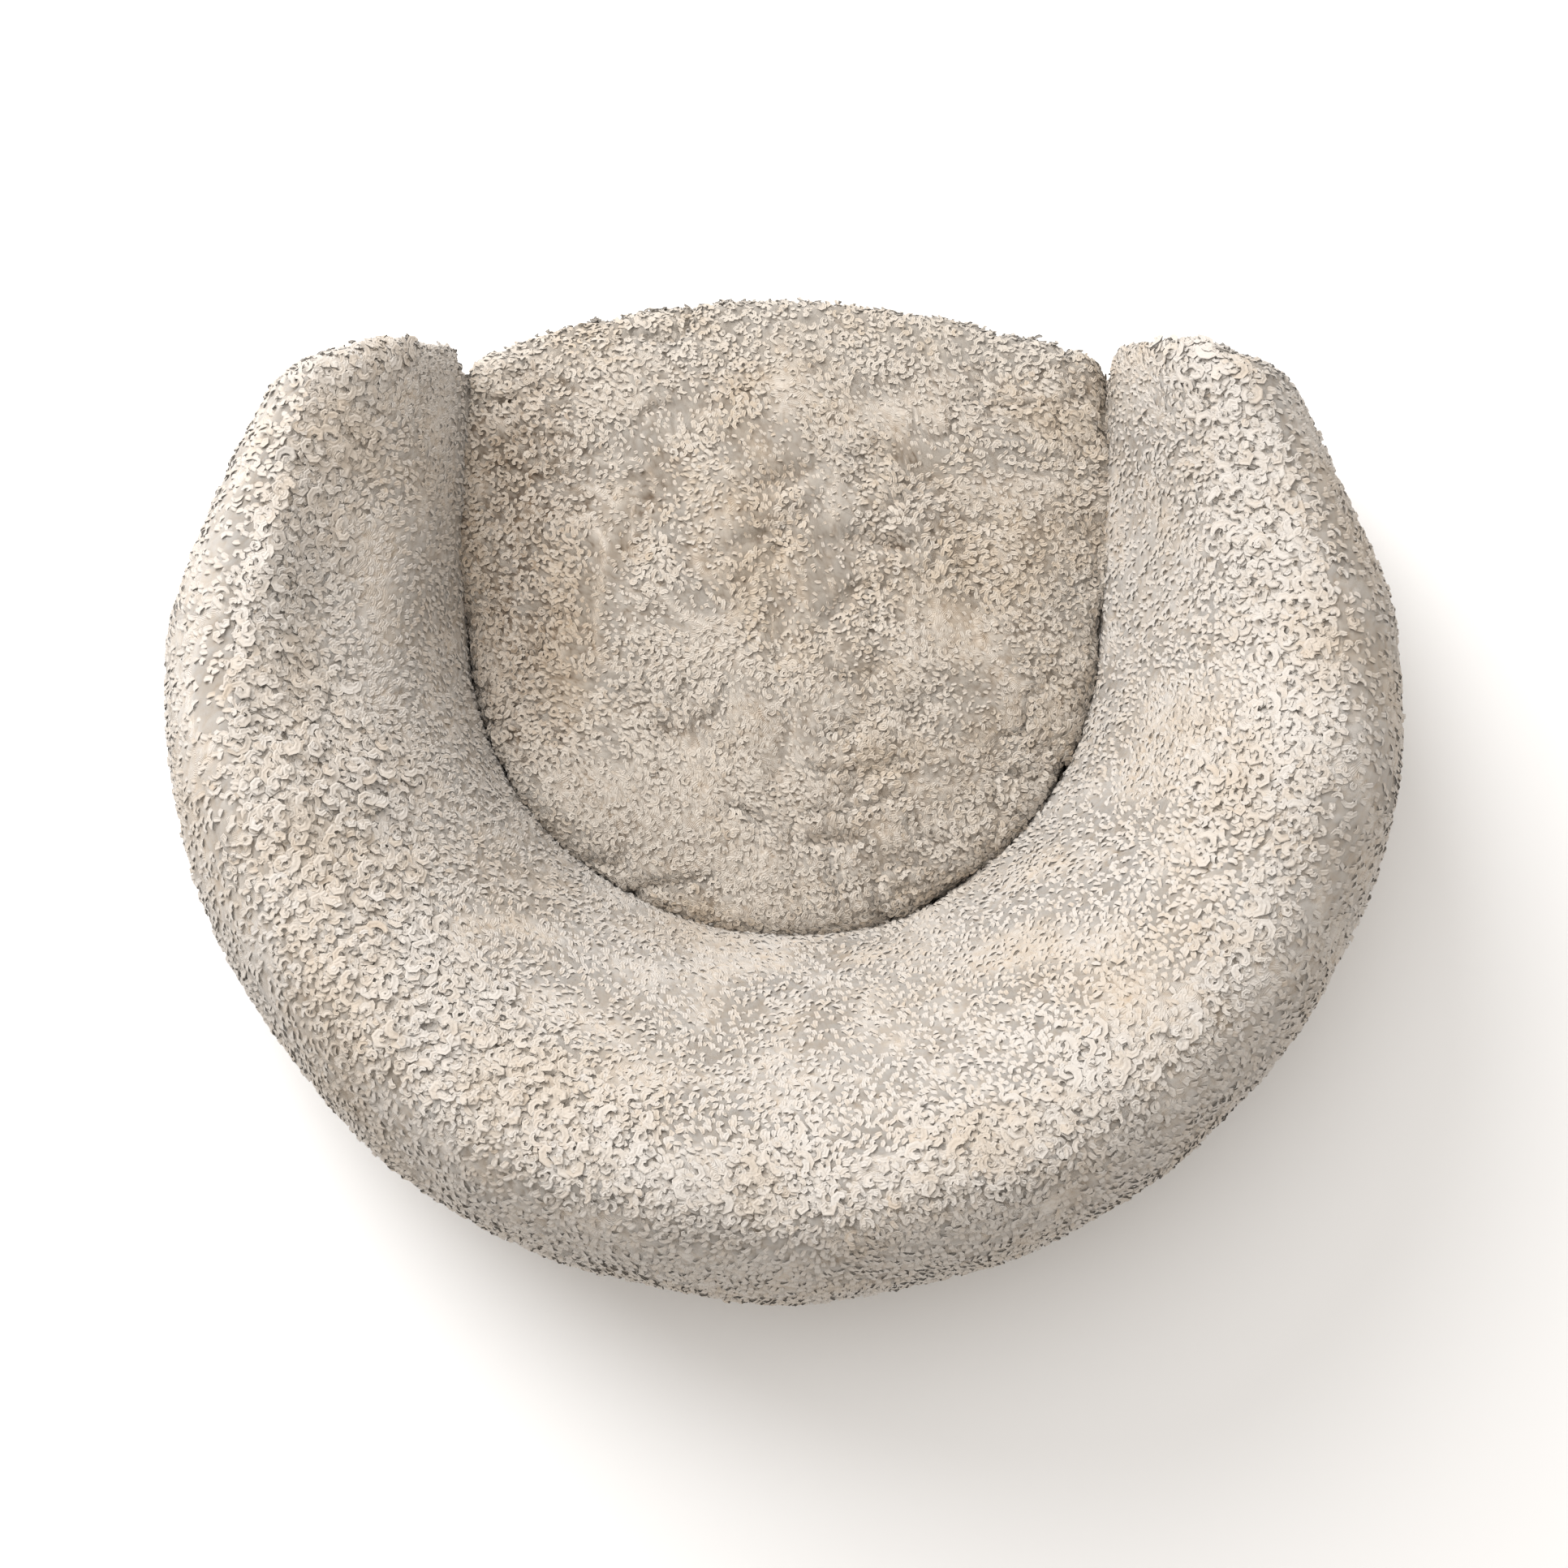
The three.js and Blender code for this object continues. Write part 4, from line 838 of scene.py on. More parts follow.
def lumps(grid, normals, size, amount, seed):
    value = smooth_noise(grid.reshape(-1, 3), size, seed).reshape(grid.shape[:2])
    return grid + normals * (value * amount)[..., None]


def lean_ends(grid, at_foot, at_crest, foot_height):
    """Slants the arms' ends, so that they stand out most just above their foot."""
    near_end = 1 - ramp(grid[..., 1], ARM_END_Y, ARM_END_Y + 75 * MM)
    up = np.clip((grid[..., 2] - foot_height) / (MOUTH_CREST_Z - foot_height), 0, 1)
    leaned = grid.copy()
    leaned[..., 1] += near_end * ramp(up, 0, 0.2) * (at_foot + (at_crest - at_foot) * up)
    return leaned


inner_grid = lean_ends(inner_grid, -18 * MM, 12 * MM, WALL_TOP)
outer_grid = lean_ends(outer_grid, 0, 12 * MM, PLINTH_TOP)
inner_normals = grid_normals(inner_grid)
inner_form = lumps(inner_grid, inner_normals, 75 * MM, 2.4 * MM, 21)
inner_form = press(inner_form, inner_normals, (0.262, -0.135), (0.024, 0.080), 6 * MM)
inner_form = press(inner_form, inner_normals, (0.218, -0.165), (0.018, 0.070), -9 * MM)
inner_form = press(inner_form, inner_normals, (0.300, -0.130), (0.022, 0.070), -6 * MM)
inner_form = press(inner_form, inner_normals, (0.282, -0.025), (0.036, 0.030), 5 * MM)
outer_form = lumps(outer_grid, grid_normals(outer_grid), 75 * MM, 2.4 * MM, 21)
inner_form[:, -1] = outer_form[:, 0]

# %% [markdown]
# ## The two skins of the bolster
# The sheepskin has been shorn differently: short and smooth on the inner face, where the pet lies against it,
# and long and curly towards the crest, above all on one side. A wave of noise moves the border between the two.


# %% Grow the bolster's wool
FINE_SPACING = 2.0 * MM
OUTER_SPACING = 2.6 * MM


def turned_nap(points, normals, base, seed, swing):
    """The way the wool lies: the base direction, turned by slow noise."""
    base = base - normals * np.einsum("ij,ij->i", base, normals)[:, None]
    base /= np.maximum(np.linalg.norm(base, axis=1, keepdims=True), 1e-9)
    side = np.cross(normals, base)
    turn = smooth_noise(points, 45 * MM, seed) * swing
    return base * np.cos(turn)[:, None] + side * np.sin(turn)[:, None]


def inner_looks(form, normals):
    points = form.reshape(-1, 3)
    flat_normals = normals.reshape(-1, 3)
    downhill = np.gradient(form, axis=1).reshape(-1, 3)
    up_share = np.tile(np.linspace(0, 1, form.shape[1]), form.shape[0])
    wave = smooth_noise(points, 42 * MM, 31) * 0.08 + smooth_noise(points, 14 * MM, 32) * 0.05
    one_side = ramp(points[:, 0], 0.12, 0.26) * ramp(points[:, 1], -0.10, -0.01)
    calm = ramp(points[:, 1], -0.06, 0.08) * (1 - ramp(points[:, 0], 0.06, 0.20))
    lively = ramp(up_share + wave + 0.12 * one_side - 0.18 * calm, 0.34, 0.80)
    curly = ramp(up_share + wave + 0.16 * one_side - 0.14 * calm, 0.72, 0.88)
    big = curly * (0.2 + 0.8 * one_side)
    return {
        "nap": turned_nap(points, flat_normals, -downhill, 33, 1.2),
        "clump": 5.2 * MM,
        "relief": (1.6 + 1.0 * lively) * MM,
        "knobs": curly * (0.45 + 0.55 * one_side),
        "locks": (
            (big, 6.6 * MM, curl_curves, 13.5 * MM),
            (0.9 * curly * (1 - 0.5 * big), 5.2 * MM, curl_curves, 9 * MM),
            (0.04 + 0.72 * lively * (1 - 0.6 * curly), 4.4 * MM, lock_curves, (4.2 + 2.6 * lively) * MM),
            (0.25 * (1 - lively), 4.8 * MM, grain_curves, 5.6 * MM),
        ),
    }


def outer_looks(form, normals):
    points = form.reshape(-1, 3)
    downhill = np.gradient(form, axis=1).reshape(-1, 3)
    down_share = np.tile(np.linspace(0, 1, form.shape[1]), form.shape[0])
    edge = ramp(0.10 - down_share + smooth_noise(points, 30 * MM, 41) * 0.05, 0, 0.08)
    back = ramp(points[:, 1], 0.06, 0.20)
    return {
        "nap": turned_nap(points, normals.reshape(-1, 3), downhill, 42, 0.9),
        "clump": 5.4 * MM,
        "relief": (1.5 + 0.9 * back) * MM,
        "knobs": 0.7 * edge * (0.2 + 0.8 * back),
        "locks": (
            (0.8 * edge * (0.2 + 0.8 * back), 5.6 * MM, curl_curves, 9 * MM),
            (0.2 + 0.45 * back, 5.2 * MM, grain_curves, 6.8 * MM),
        ),
    }


inner_skin = wool_piece("bolster_inner_sheepskin", inner_form, FINE_SPACING, inner_looks, bolster_wool)
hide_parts("bolster_inner_panel")
outer_skin = wool_piece("bolster_outer_sheepskin", outer_form, OUTER_SPACING, outer_looks, bolster_wool)
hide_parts("bolster_outer_panel")
for skin in (inner_skin, outer_skin):
    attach(skin, "bed")


# %% [markdown]
# ## The arms' ends
# A separate shield of skin closes each arm's end. It follows the edge that the two panels leave, and closes
# towards an upright line in its middle, a little domed by the filling.


# %% Make the arm ends
def arm_end_grid(side):
    row = 0 if side > 0 else -1
    edge = np.concatenate([inner_form[row], outer_form[row][1:]])
    low_inside = edge[0].copy()
    low_inside[2] = PLINTH_TOP - 5 * MM
    steps = np.linspace(0, 1, 5)[:-1, None]
    edge = np.concatenate([low_inside + (edge[0] - low_inside) * steps, edge])
    middle_x = (edge[:, 0].max() + edge[:, 0].min()) / 2
    low, high = edge[:, 2].min(), edge[:, 2].max()
    spine = np.column_stack(
        [
            np.full(len(edge), middle_x),
            np.full(len(edge), edge[:, 1].mean()),
            np.clip(edge[:, 2], low, high - 26 * MM),
        ]
    )
    rows = []
    for inward in np.linspace(0, 1, 8):
        line = edge + (spine - edge) * inward
        line[:, 1] -= 6 * MM * math.sin(inward * math.pi / 2)
        rows.append(line)
    return np.array(rows)[::-1] if side > 0 else np.array(rows)


def end_looks(form, normals):
    points = form.reshape(-1, 3)
    down = np.tile(np.array((0.0, 0.0, -1.0)), (len(points), 1))
    return {
        "nap": turned_nap(points, normals.reshape(-1, 3), down, 51, 0.9),
        "clump": 5.4 * MM,
        "relief": 1.9 * MM,
        "knobs": np.zeros(len(points)),
        "locks": ((np.full(len(points), 0.5), 4.4 * MM, grain_curves, 5.6 * MM),),
    }


for side, label in ((1, "right"), (-1, "left")):
    name = f"arm_end_sheepskin_{label}"
    arm_end = wool_piece(name, arm_end_grid(side), OUTER_SPACING, end_looks, bolster_wool)
    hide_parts(f"arm_facing_{label}")
    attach(arm_end, "bed")

# %% [markdown]
# ## The cushion
# The cushion fits the well: a half circle at the back, straight sides and a front edge that bows out of the
# mouth. A square grid is bent into that outline, so that there is no pole in its middle, and then domed.


# %% The cushion's form
CUSHION_SAG = 32 * MM
CUSHION_CORNER = 18 * MM
CUSHION_EDGE_TOP = 84 * MM
CUSHION_SHOULDER = 101 * MM
CUSHION_ROUND = 18 * MM
BORDER_TOP = 62 * MM
FRONT_HEM = cushion_low.z
CROWN = cushion_high.z
FRONT_Y = cushion_low.y
CUSHION_SIDE = cushion_high.x


def cushion_outline():
    """The outline as a line of points, once round from the middle of the back."""
    turns = np.linspace(0, math.pi / 2, 60)
    back = np.column_stack([CUSHION_SIDE * np.sin(turns), WELL_Y + CUSHION_SIDE * np.cos(turns)])
    front_edge = FRONT_Y + CUSHION_SAG
    corner_turns = np.radians(np.linspace(0, 80, 12))
    corner = np.column_stack(
        [
            CUSHION_SIDE - CUSHION_CORNER * (1 - np.cos(corner_turns)),
            front_edge + CUSHION_CORNER * (1 - np.sin(corner_turns)),
        ]
    )
    t = np.linspace(0, 1, 40)[1:, None]
    end = corner[-1]
    bow = (1 - t) ** 2 * end + 2 * (1 - t) * t * np.array((0, 2 * FRONT_Y - end[1])) + t**2 * end * (-1, 1)
    half = np.concatenate([back, corner, bow[: len(bow) // 2 + 1]])
    return np.concatenate([half, half[::-1] * (-1, 1)])


CUSHION_MIDDLE = np.array((0.0, (FRONT_Y + WELL_Y + CUSHION_SIDE) / 2))


def outline_reach(angles):
    """How far the outline is from the cushion's middle, in each direction."""
    away = cushion_outline() - CUSHION_MIDDLE
    known = np.arctan2(away[:, 0], away[:, 1])
    order = np.argsort(known)
    return np.interp(angles, known[order], np.linalg.norm(away, axis=1)[order], period=2 * math.pi)


def cushion_grid(count):
    """A coarse grid over the whole cover: crown, rounded edge and side, down to the hem."""
    line = np.linspace(-1, 1, count)
    s, t = np.meshgrid(line, line, indexing="ij")
    major = np.maximum(np.abs(s), np.abs(t))
    swap = np.abs(s) > np.abs(t)
    safe = np.where(major == 0, 1, major)
    angle = np.where(
        swap,
        math.pi / 2 * np.sign(s) - (math.pi / 4) * t / safe * np.sign(s),
        np.where(t >= 0, (math.pi / 4) * s / safe, math.pi - (math.pi / 4) * s / safe),
    )
    edge = outline_reach(np.mod(angle + math.pi, 2 * math.pi) - math.pi)
    direction = np.stack([np.sin(angle), np.cos(angle)], axis=-1)
    rim = CUSHION_MIDDLE + direction * edge[..., None]
    in_mouth = np.clip((WELL_Y - rim[..., 1]) / (WELL_Y - FRONT_Y - CUSHION_SAG - CUSHION_CORNER), 0, 1)
    hem = BORDER_TOP + (FRONT_HEM - BORDER_TOP) * in_mouth
    side = CUSHION_EDGE_TOP - hem
    turn_run = math.pi / 2 * CUSHION_ROUND
    flat_run = edge - CUSHION_ROUND
    run = major * (flat_run + turn_run + side)
    on_flat = np.minimum(run, flat_run) / flat_run
    turning = np.clip((run - flat_run) / turn_run, 0, 1) * math.pi / 2
    dropped = np.clip(run - flat_run - turn_run, 0, None)
    out = on_flat * flat_run + CUSHION_ROUND * np.sin(turning)
    height = CROWN - (CROWN - CUSHION_SHOULDER) * on_flat**2
    height = height - (CUSHION_SHOULDER - CUSHION_EDGE_TOP) * (1 - np.cos(turning)) - dropped
    flat = CUSHION_MIDDLE + direction * out[..., None]
    return np.concatenate([flat, height[..., None]], axis=-1)


# %% [markdown]
# ## Creases in the cushion
# The skin lies a little loose over the foam. A long furrow runs from front to back where the foam gives, and a
# few shorter creases cross it. Each crease is a narrow valley along a line, uneven in depth, and its wool is
# painted darker by how deep it sinks, as painted shade.


# %% Crease the cushion
CREASES = (  # from, to, depth and width, in millimetres
    ((-2, -178), (4, -60), 2.0, 7),
    ((4, -60), (-6, 50), 2.8, 7),
    ((34, -172), (-28, -200), 2.8, 8),
    ((40, -140), (-20, -168), 2.4, 7),
    ((-66, -190), (-98, -176), 3.0, 7),
    ((-98, -176), (-112, -112), 2.4, 8),
    ((-20, -150), (-80, -138), 3.0, 7),
    ((-80, -138), (-120, -156), 2.4, 7),
    ((-30, 5), (-70, -20), 2.8, 7),
    ((-60, -118), (-20, -96), 2.6, 7),
    ((70, -200), (96, -120), 3.0, 11),
    ((120, -225), (150, -215), 3.4, 8),
    ((-8, 40), (-46, 22), 2.8, 7),
    ((48, -20), (92, -52), 2.0, 9),
)
DEEPEST_CREASE = 5.5 * MM  # deeper, and the filling would show


def creased(form, normals):
    points = form.reshape(-1, 3)
    wobble = np.stack([smooth_noise(points, 22 * MM, seed) for seed in (61, 62)], axis=1) * 5 * MM
    flat = points[:, :2] + wobble
    depth = np.zeros(len(points))
    for start, end, deep, wide in CREASES:
        a, b = np.array(start) * MM, np.array(end) * MM
        along = np.clip((flat - a) @ (b - a) / ((b - a) @ (b - a)), 0, 1)
        away = np.linalg.norm(flat - a - along[:, None] * (b - a), axis=1)
        ends = np.sqrt(np.sin(math.pi * np.clip(along, 0.04, 0.96)))
        depth = np.maximum(depth, deep * MM * ends * np.exp(-((away / (wide * MM)) ** 2)))
    depth = depth * (1.5 + 0.6 * smooth_noise(points, 18 * MM, 63))
    for size, seed, deep in ((36 * MM, 67, 3.8 * MM), (22 * MM, 68, 2.6 * MM)):
        ridge = smooth_noise(points + np.pad(wobble, ((0, 0), (0, 1))) * 0.6, size, seed)
        shown = ramp(smooth_noise(points, 2.2 * size, seed + 5), -0.1, 0.5)
        depth = np.maximum(depth, deep * shown * np.exp(-((ridge / 0.20) ** 2)))
    depth = np.minimum(depth, DEEPEST_CREASE)
    return form - normals * depth.reshape(form.shape[:2])[..., None]


def cushion_looks(form, normals):
    smooth = form.copy()
    form[:] = creased(form, normals)
    # sunk is how deep each point lies in a crease. The creases are painted darker with it, as painted shade.
    sunk = np.linalg.norm(form - smooth, axis=2).ravel() / DEEPEST_CREASE
    normals[:] = grid_normals(form)
    points = form.reshape(-1, 3)
    flat_normals = normals.reshape(-1, 3)
    forward = np.tile(np.array((0.25, -1.0, 0.0)), (len(points), 1))
    rim = np.linalg.norm(points[:, :2] - CUSHION_MIDDLE, axis=1)
    back_edge = ramp(rim, 0.13, 0.19)
    patches = ramp(smooth_noise(points, 26 * MM, 64) + 0.3 * smooth_noise(points, 9 * MM, 69), -0.6, 0.6)
    # front thins the grains along the cushion's front edge, and is also painted light there: that wool turns down
    # into shade, and is painted lighter.
    front = ramp(-points[:, 1], 0.245, 0.275)
    turned_edge = ramp(-points[:, 2], 2 * MM - CUSHION_SHOULDER, 9 * MM - CUSHION_SHOULDER) * (1 - front)
    # Painted shadow: the +X arm's shadow on the cushion, painted in as darker wool beside that arm.
    painted_arm_shadow = ramp(points[:, 0], 0.085, 0.16) * ramp(-np.abs(points[:, 1] + 0.13), -0.15, -0.06)
    return {
        "nap": turned_nap(points, flat_normals, forward, 65, 2.4),
        "clump": 5.2 * MM,
        "relief": (1.3 + 1.0 * patches + 0.6 * back_edge) * MM,
        "knobs": 0.25 * patches + 0.25 * back_edge,
        "locks": (
            (0.15 * patches + 0.5 * back_edge, 5.4 * MM, curl_curves, 7.0 * MM),
            ((0.30 + 0.65 * patches) * (1 - 0.6 * front), 3.8 * MM, grain_curves, (4.1 + 1.8 * patches) * MM),
            (0.8 * turned_edge, 5 * MM, lock_curves, 6.5 * MM),
        ),
        "dim": 0.38 * painted_arm_shadow - 0.28 * front + 0.34 * sunk**2,
    }


coarse_cushion = cushion_grid(49)[::-1]
coarse_cushion = lumps(coarse_cushion, grid_normals(coarse_cushion), 60 * MM, 2.0 * MM, 66)
cushion_skin = wool_piece("cushion_sheepskin", coarse_cushion, FINE_SPACING, cushion_looks, cushion_wool)
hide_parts("cushion_cover")
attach(cushion_skin, "cushion")

# %% [markdown]
# ## Cloth, foam and metal
# Under the wool the bed is plain workshop stuff: cotton canvas round the plinth, lining cloth in the well, foam,
# polyester wadding, a rubbery grip cloth underneath, and brass zips. Woven cloth is drawn as threads that pass over
# and under each other, measured along the plinth's arc, so that the weave runs round the bed and doesn't slide.

# %% Cloth materials
def weave(tree, along, up, pitch):
    """The height of a plain weave: where a warp thread is on top it shows its round back, else the weft does."""
    warp_phase = along * (math.pi / pitch)
    weft_phase = up * (math.pi / pitch)
    warp = warp_phase.math("SINE").math("ABSOLUTE")
    weft = weft_phase.math("SINE").math("ABSOLUTE")
    over = (warp_phase.math("SINE") * weft_phase.math("SINE")).math("GREATER_THAN", 0.0)
    return over * warp + (1 - over) * weft


def split(tree, place):
    made = add_node(tree, "ShaderNodeSeparateXYZ", {}, {"Vector": place})
    return [Wire(tree, made.outputs[axis]) for axis in "XYZ"]


def cloth_material(name, dark, light, pitch, upright, roughness=0.85):
    """Woven cloth. Upright cloth is measured round the bed's arc, level cloth across and along the bed."""
    material, tree, surface = start_material(name, roughness, Sheen_Weight=0.15)
    place = object_place(tree)
    x, y, z = split(tree, place)
    if upright:
        along = x.math("ARCTAN2", y - ARC_Y) * BED_RADIUS
        threads = weave(tree, along, z, pitch)
    else:
        threads = weave(tree, x, y, pitch)
    slub = noise(tree, place, 180.0, 3.0)
    wear = noise(tree, place, 18.0, 4.0)
    shade = (threads * 0.55 + slub * 0.45 + (wear - 0.5) * 0.5).clamped()
    connect(tree, mix_colour(tree, shade, dark, light), surface.inputs["Base Color"])
    connect(tree, bump(tree, threads + slub * 0.5, 0.25 * MM, 0.8), surface.inputs["Normal"])
    return material


band_canvas = cloth_material("band_canvas", (0.33, 0.27, 0.20), (0.55, 0.48, 0.385), 1.1 * MM, True)
sole_canvas = cloth_material("sole_canvas", (0.33, 0.27, 0.20), (0.55, 0.48, 0.385), 1.1 * MM, False)
wall_lining = cloth_material("wall_lining", (0.48, 0.43, 0.35), (0.68, 0.62, 0.53), 0.7 * MM, True)
floor_lining = cloth_material("floor_lining", (0.48, 0.43, 0.35), (0.68, 0.62, 0.53), 0.7 * MM, False)
upright_tape = cloth_material("upright_zip_tape", (0.24, 0.20, 0.15), (0.42, 0.36, 0.28), 0.6 * MM, True)
level_tape = cloth_material("level_zip_tape", (0.24, 0.20, 0.15), (0.42, 0.36, 0.28), 0.6 * MM, False)
grip_cloth = cloth_material("grip_cloth", (0.09, 0.08, 0.07), (0.17, 0.155, 0.135), 1.4 * MM, False, 0.7)


# %% Foam, wadding, touch fastener and brass
def porous_material(name, dark, light, pore, depth, roughness=0.9):
    """Open-celled stuff: a Voronoi pattern gives the pores and a slow noise the yellowing."""
    material, tree, surface = start_material(name, roughness)
    place = object_place(tree)
    cells = add_node(tree, "ShaderNodeTexVoronoi", {}, {"Vector": place, "Scale": 1 / pore})
    cell = Wire(tree, cells.outputs["Distance"])
    age = noise(tree, place, 14.0, 3.0)
    shade = (0.35 + cell * 0.6 + (age - 0.5) * 0.6).clamped()
    connect(tree, mix_colour(tree, shade, dark, light), surface.inputs["Base Color"])
    connect(tree, bump(tree, cell, depth, 0.7), surface.inputs["Normal"])
    return material


support_foam = porous_material("support_foam", (0.52, 0.45, 0.27), (0.80, 0.74, 0.54), 1.2 * MM, 0.4 * MM)
memory_foam = porous_material("memory_foam", (0.70, 0.66, 0.50), (0.88, 0.85, 0.72), 0.7 * MM, 0.2 * MM)
wadding_fluff = porous_material("wadding_fluff", (0.72, 0.72, 0.69), (0.93, 0.93, 0.90), 3.5 * MM, 0.8 * MM)
fastener_hooks = porous_material("fastener_hooks", (0.15, 0.125, 0.10), (0.34, 0.29, 0.23), 1.3 * MM, 0.7 * MM)
fastener_loops = porous_material("fastener_loops", (0.22, 0.19, 0.15), (0.42, 0.37, 0.30), 0.8 * MM, 0.5 * MM)


def brass_material():
    material, tree, surface = start_material("old_brass", 0.35, Metallic=1.0)
    place = object_place(tree)
    tarnish = noise(tree, place, 420.0, 4.0)
    scratch = noise(tree, place, 2600.0, 2.0)
    colour = mix_colour(tree, ((tarnish - 0.35) * 2.2).clamped(), (0.30, 0.22, 0.12), (0.62, 0.49, 0.29))
    connect(tree, colour, surface.inputs["Base Color"])
    connect(tree, (0.24 + tarnish * 0.3).clamped(), surface.inputs["Roughness"])
    connect(tree, bump(tree, scratch, 0.03 * MM, 0.5), surface.inputs["Normal"])
    return material


old_brass = brass_material()

# %% [markdown]
# ## The hard-edged pieces
# Cut cloth and cast metal have no knife-sharp edges. Each of these pieces starts as a copy of its own solid, so it
# keeps its size; the loose triangles are merged, flat facets are joined, and a small bevel rounds the edges.

# %% Round the edges of a solid
def softened(node, name, body, material, edge, smooth=35):
    """A copy of a solid with rounded edges and smooth faces, which stands for it."""
    mesh = frame["nodes"][node].data.copy()
    mesh.name = name
    made = bpy.data.objects.new(name, mesh)
    bpy.context.scene.collection.objects.link(made)
    mesh.materials.clear()
    mesh.materials.append(material)
    bpy.ops.object.select_all(action="DESELECT")
    bpy.context.view_layer.objects.active = made
    made.select_set(True)
    bpy.ops.mesh.customdata_custom_splitnormals_clear()
    bpy.ops.object.mode_set(mode="EDIT")
    bpy.ops.mesh.select_all(action="SELECT")
    bpy.ops.mesh.remove_doubles(threshold=0.01 * MM)
    bpy.ops.mesh.dissolve_limited(angle_limit=math.radians(0.5))
    bpy.ops.mesh.normals_make_consistent(inside=False)
    bpy.ops.object.mode_set(mode="OBJECT")
    if edge:
        bevel = made.modifiers.new("edge", "BEVEL")
        bevel.width = edge
        bevel.segments = 2
        bevel.limit_method = "ANGLE"
        bevel.angle_limit = math.radians(40)
        bpy.ops.object.modifier_apply(modifier="edge")
    bpy.ops.object.shade_smooth_by_angle(angle=math.radians(smooth))
    made.select_set(False)
    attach(made, body)
    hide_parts(node)
    return made


for node, name, body, slot, material, edge in (
    ("plinth_band", "plinth_canvas", "bed", "canvas", band_canvas, 0.5 * MM),
    ("front_binding", "mouth_binding", "bed", "canvas", band_canvas, 0.5 * MM),
    ("well_lining", "well_wall_lining", "bed", "lining_cloth", wall_lining, 0.4 * MM),
    ("base_underside", "gripping_sole", "bed", "grip_cloth", grip_cloth, 0),
    ("base_lining", "well_floor_lining", "bed", "lining_cloth", floor_lining, 0.4 * MM),
    ("cushion_border", "cushion_side_canvas", "cushion", "canvas", band_canvas, 0.4 * MM),
    ("cushion_underside", "cushion_sole_canvas", "cushion", "canvas", sole_canvas, 0.4 * MM),
    ("plinth_zip_tape_upper", "plinth_tape_upper", "bed", "zip_tape", upright_tape, 0.2 * MM),
    ("plinth_zip_tape_lower", "plinth_tape_lower", "bed", "zip_tape", upright_tape, 0.2 * MM),
    ("cushion_zip_tape_front", "cushion_tape_front", "cushion", "zip_tape", level_tape, 0.2 * MM),
    ("cushion_zip_tape_rear", "cushion_tape_rear", "cushion", "zip_tape", level_tape, 0.2 * MM),
    ("plinth_zip_stop_left", "plinth_stop_left", "bed", "zip_metal", old_brass, 0.3 * MM),
    ("plinth_zip_stop_right", "plinth_stop_right", "bed", "zip_metal", old_brass, 0.3 * MM),
    ("cushion_zip_stop_left", "cushion_stop_left", "cushion", "zip_metal", old_brass, 0.3 * MM),
    ("cushion_zip_stop_right", "cushion_stop_right", "cushion", "zip_metal", old_brass, 0.3 * MM),
    ("plinth_zip_slider", "plinth_slider_brass", "plinth_slider", "zip_metal", old_brass, 0.25 * MM),
    ("plinth_zip_pull", "plinth_pull_brass", "plinth_pull", "zip_metal", old_brass, 0.25 * MM),
    ("cushion_zip_slider", "cushion_slider_brass", "cushion_slider", "zip_metal", old_brass, 0.25 * MM),
    ("base_hook_strip_left", "hook_strip_left", "bed", "touch_fastener", fastener_hooks, 0.3 * MM),
    ("base_hook_strip_right", "hook_strip_right", "bed", "touch_fastener", fastener_hooks, 0.3 * MM),
    ("cushion_loop_strip_left", "loop_strip_left", "cushion", "touch_fastener", fastener_loops, 0.3 * MM),
    ("cushion_loop_strip_right", "loop_strip_right", "cushion", "touch_fastener", fastener_loops, 0.3 * MM),
):
    piece = softened(node, name, body, material, edge)
    print(name, len(piece.data.polygons), "faces")

# %% [markdown]
# ## What the covers hide
# Foam and wadding keep the shapes that were cut for them, and only need their own look, for when a cover is off.

# %% Dress the filling
for node, material in {
    "base_foam": support_foam,
    "bolster_foam_right": support_foam,
    "bolster_foam_back": support_foam,
    "bolster_foam_left": support_foam,
    "cushion_support_foam": support_foam,
    "cushion_memory_foam": memory_foam,
    "bolster_wadding": wadding_fluff,
    "cushion_wadding": wadding_fluff,
    "crest_seam_tape": band_canvas,
}.items():
    for material_slot in frame["nodes"][node].material_slots:
        material_slot.material = material

# %% [markdown]
# ## Zip teeth
# A closed brass zip is two rows of small teeth that lock into each other. One tooth is a short block with its
# corners cut off. It is modelled once and repeated along each chain, first from one side and then from the other.

# %% Teeth
TOOTH_PITCH = 1.6 * MM
TOOTH_LENGTH = 1.9 * MM
TOOTH_THICK = 1.15 * MM
TOOTH_OFFSET = 0.35 * MM  # the two rows stand this far to either side of the chain's middle


def one_tooth():
    """The points and faces of one tooth: across Y, along X, its thickness in Z."""
    bpy.ops.object.select_all(action="DESELECT")
    bpy.ops.mesh.primitive_cube_add(size=1)
    tooth = bpy.context.active_object
    bpy.ops.object.mode_set(mode="EDIT")
    bpy.ops.mesh.select_all(action="SELECT")
    bpy.ops.transform.resize(value=(0.62 * TOOTH_PITCH, TOOTH_LENGTH, TOOTH_THICK))
    bpy.ops.mesh.bevel(offset=0.18 * MM, segments=1)
    bpy.ops.object.mode_set(mode="OBJECT")
    points = np.array([v.co[:] for v in tooth.data.vertices])
    faces = [tuple(face.vertices) for face in tooth.data.polygons]
    bpy.data.objects.remove(tooth)
    return points, faces


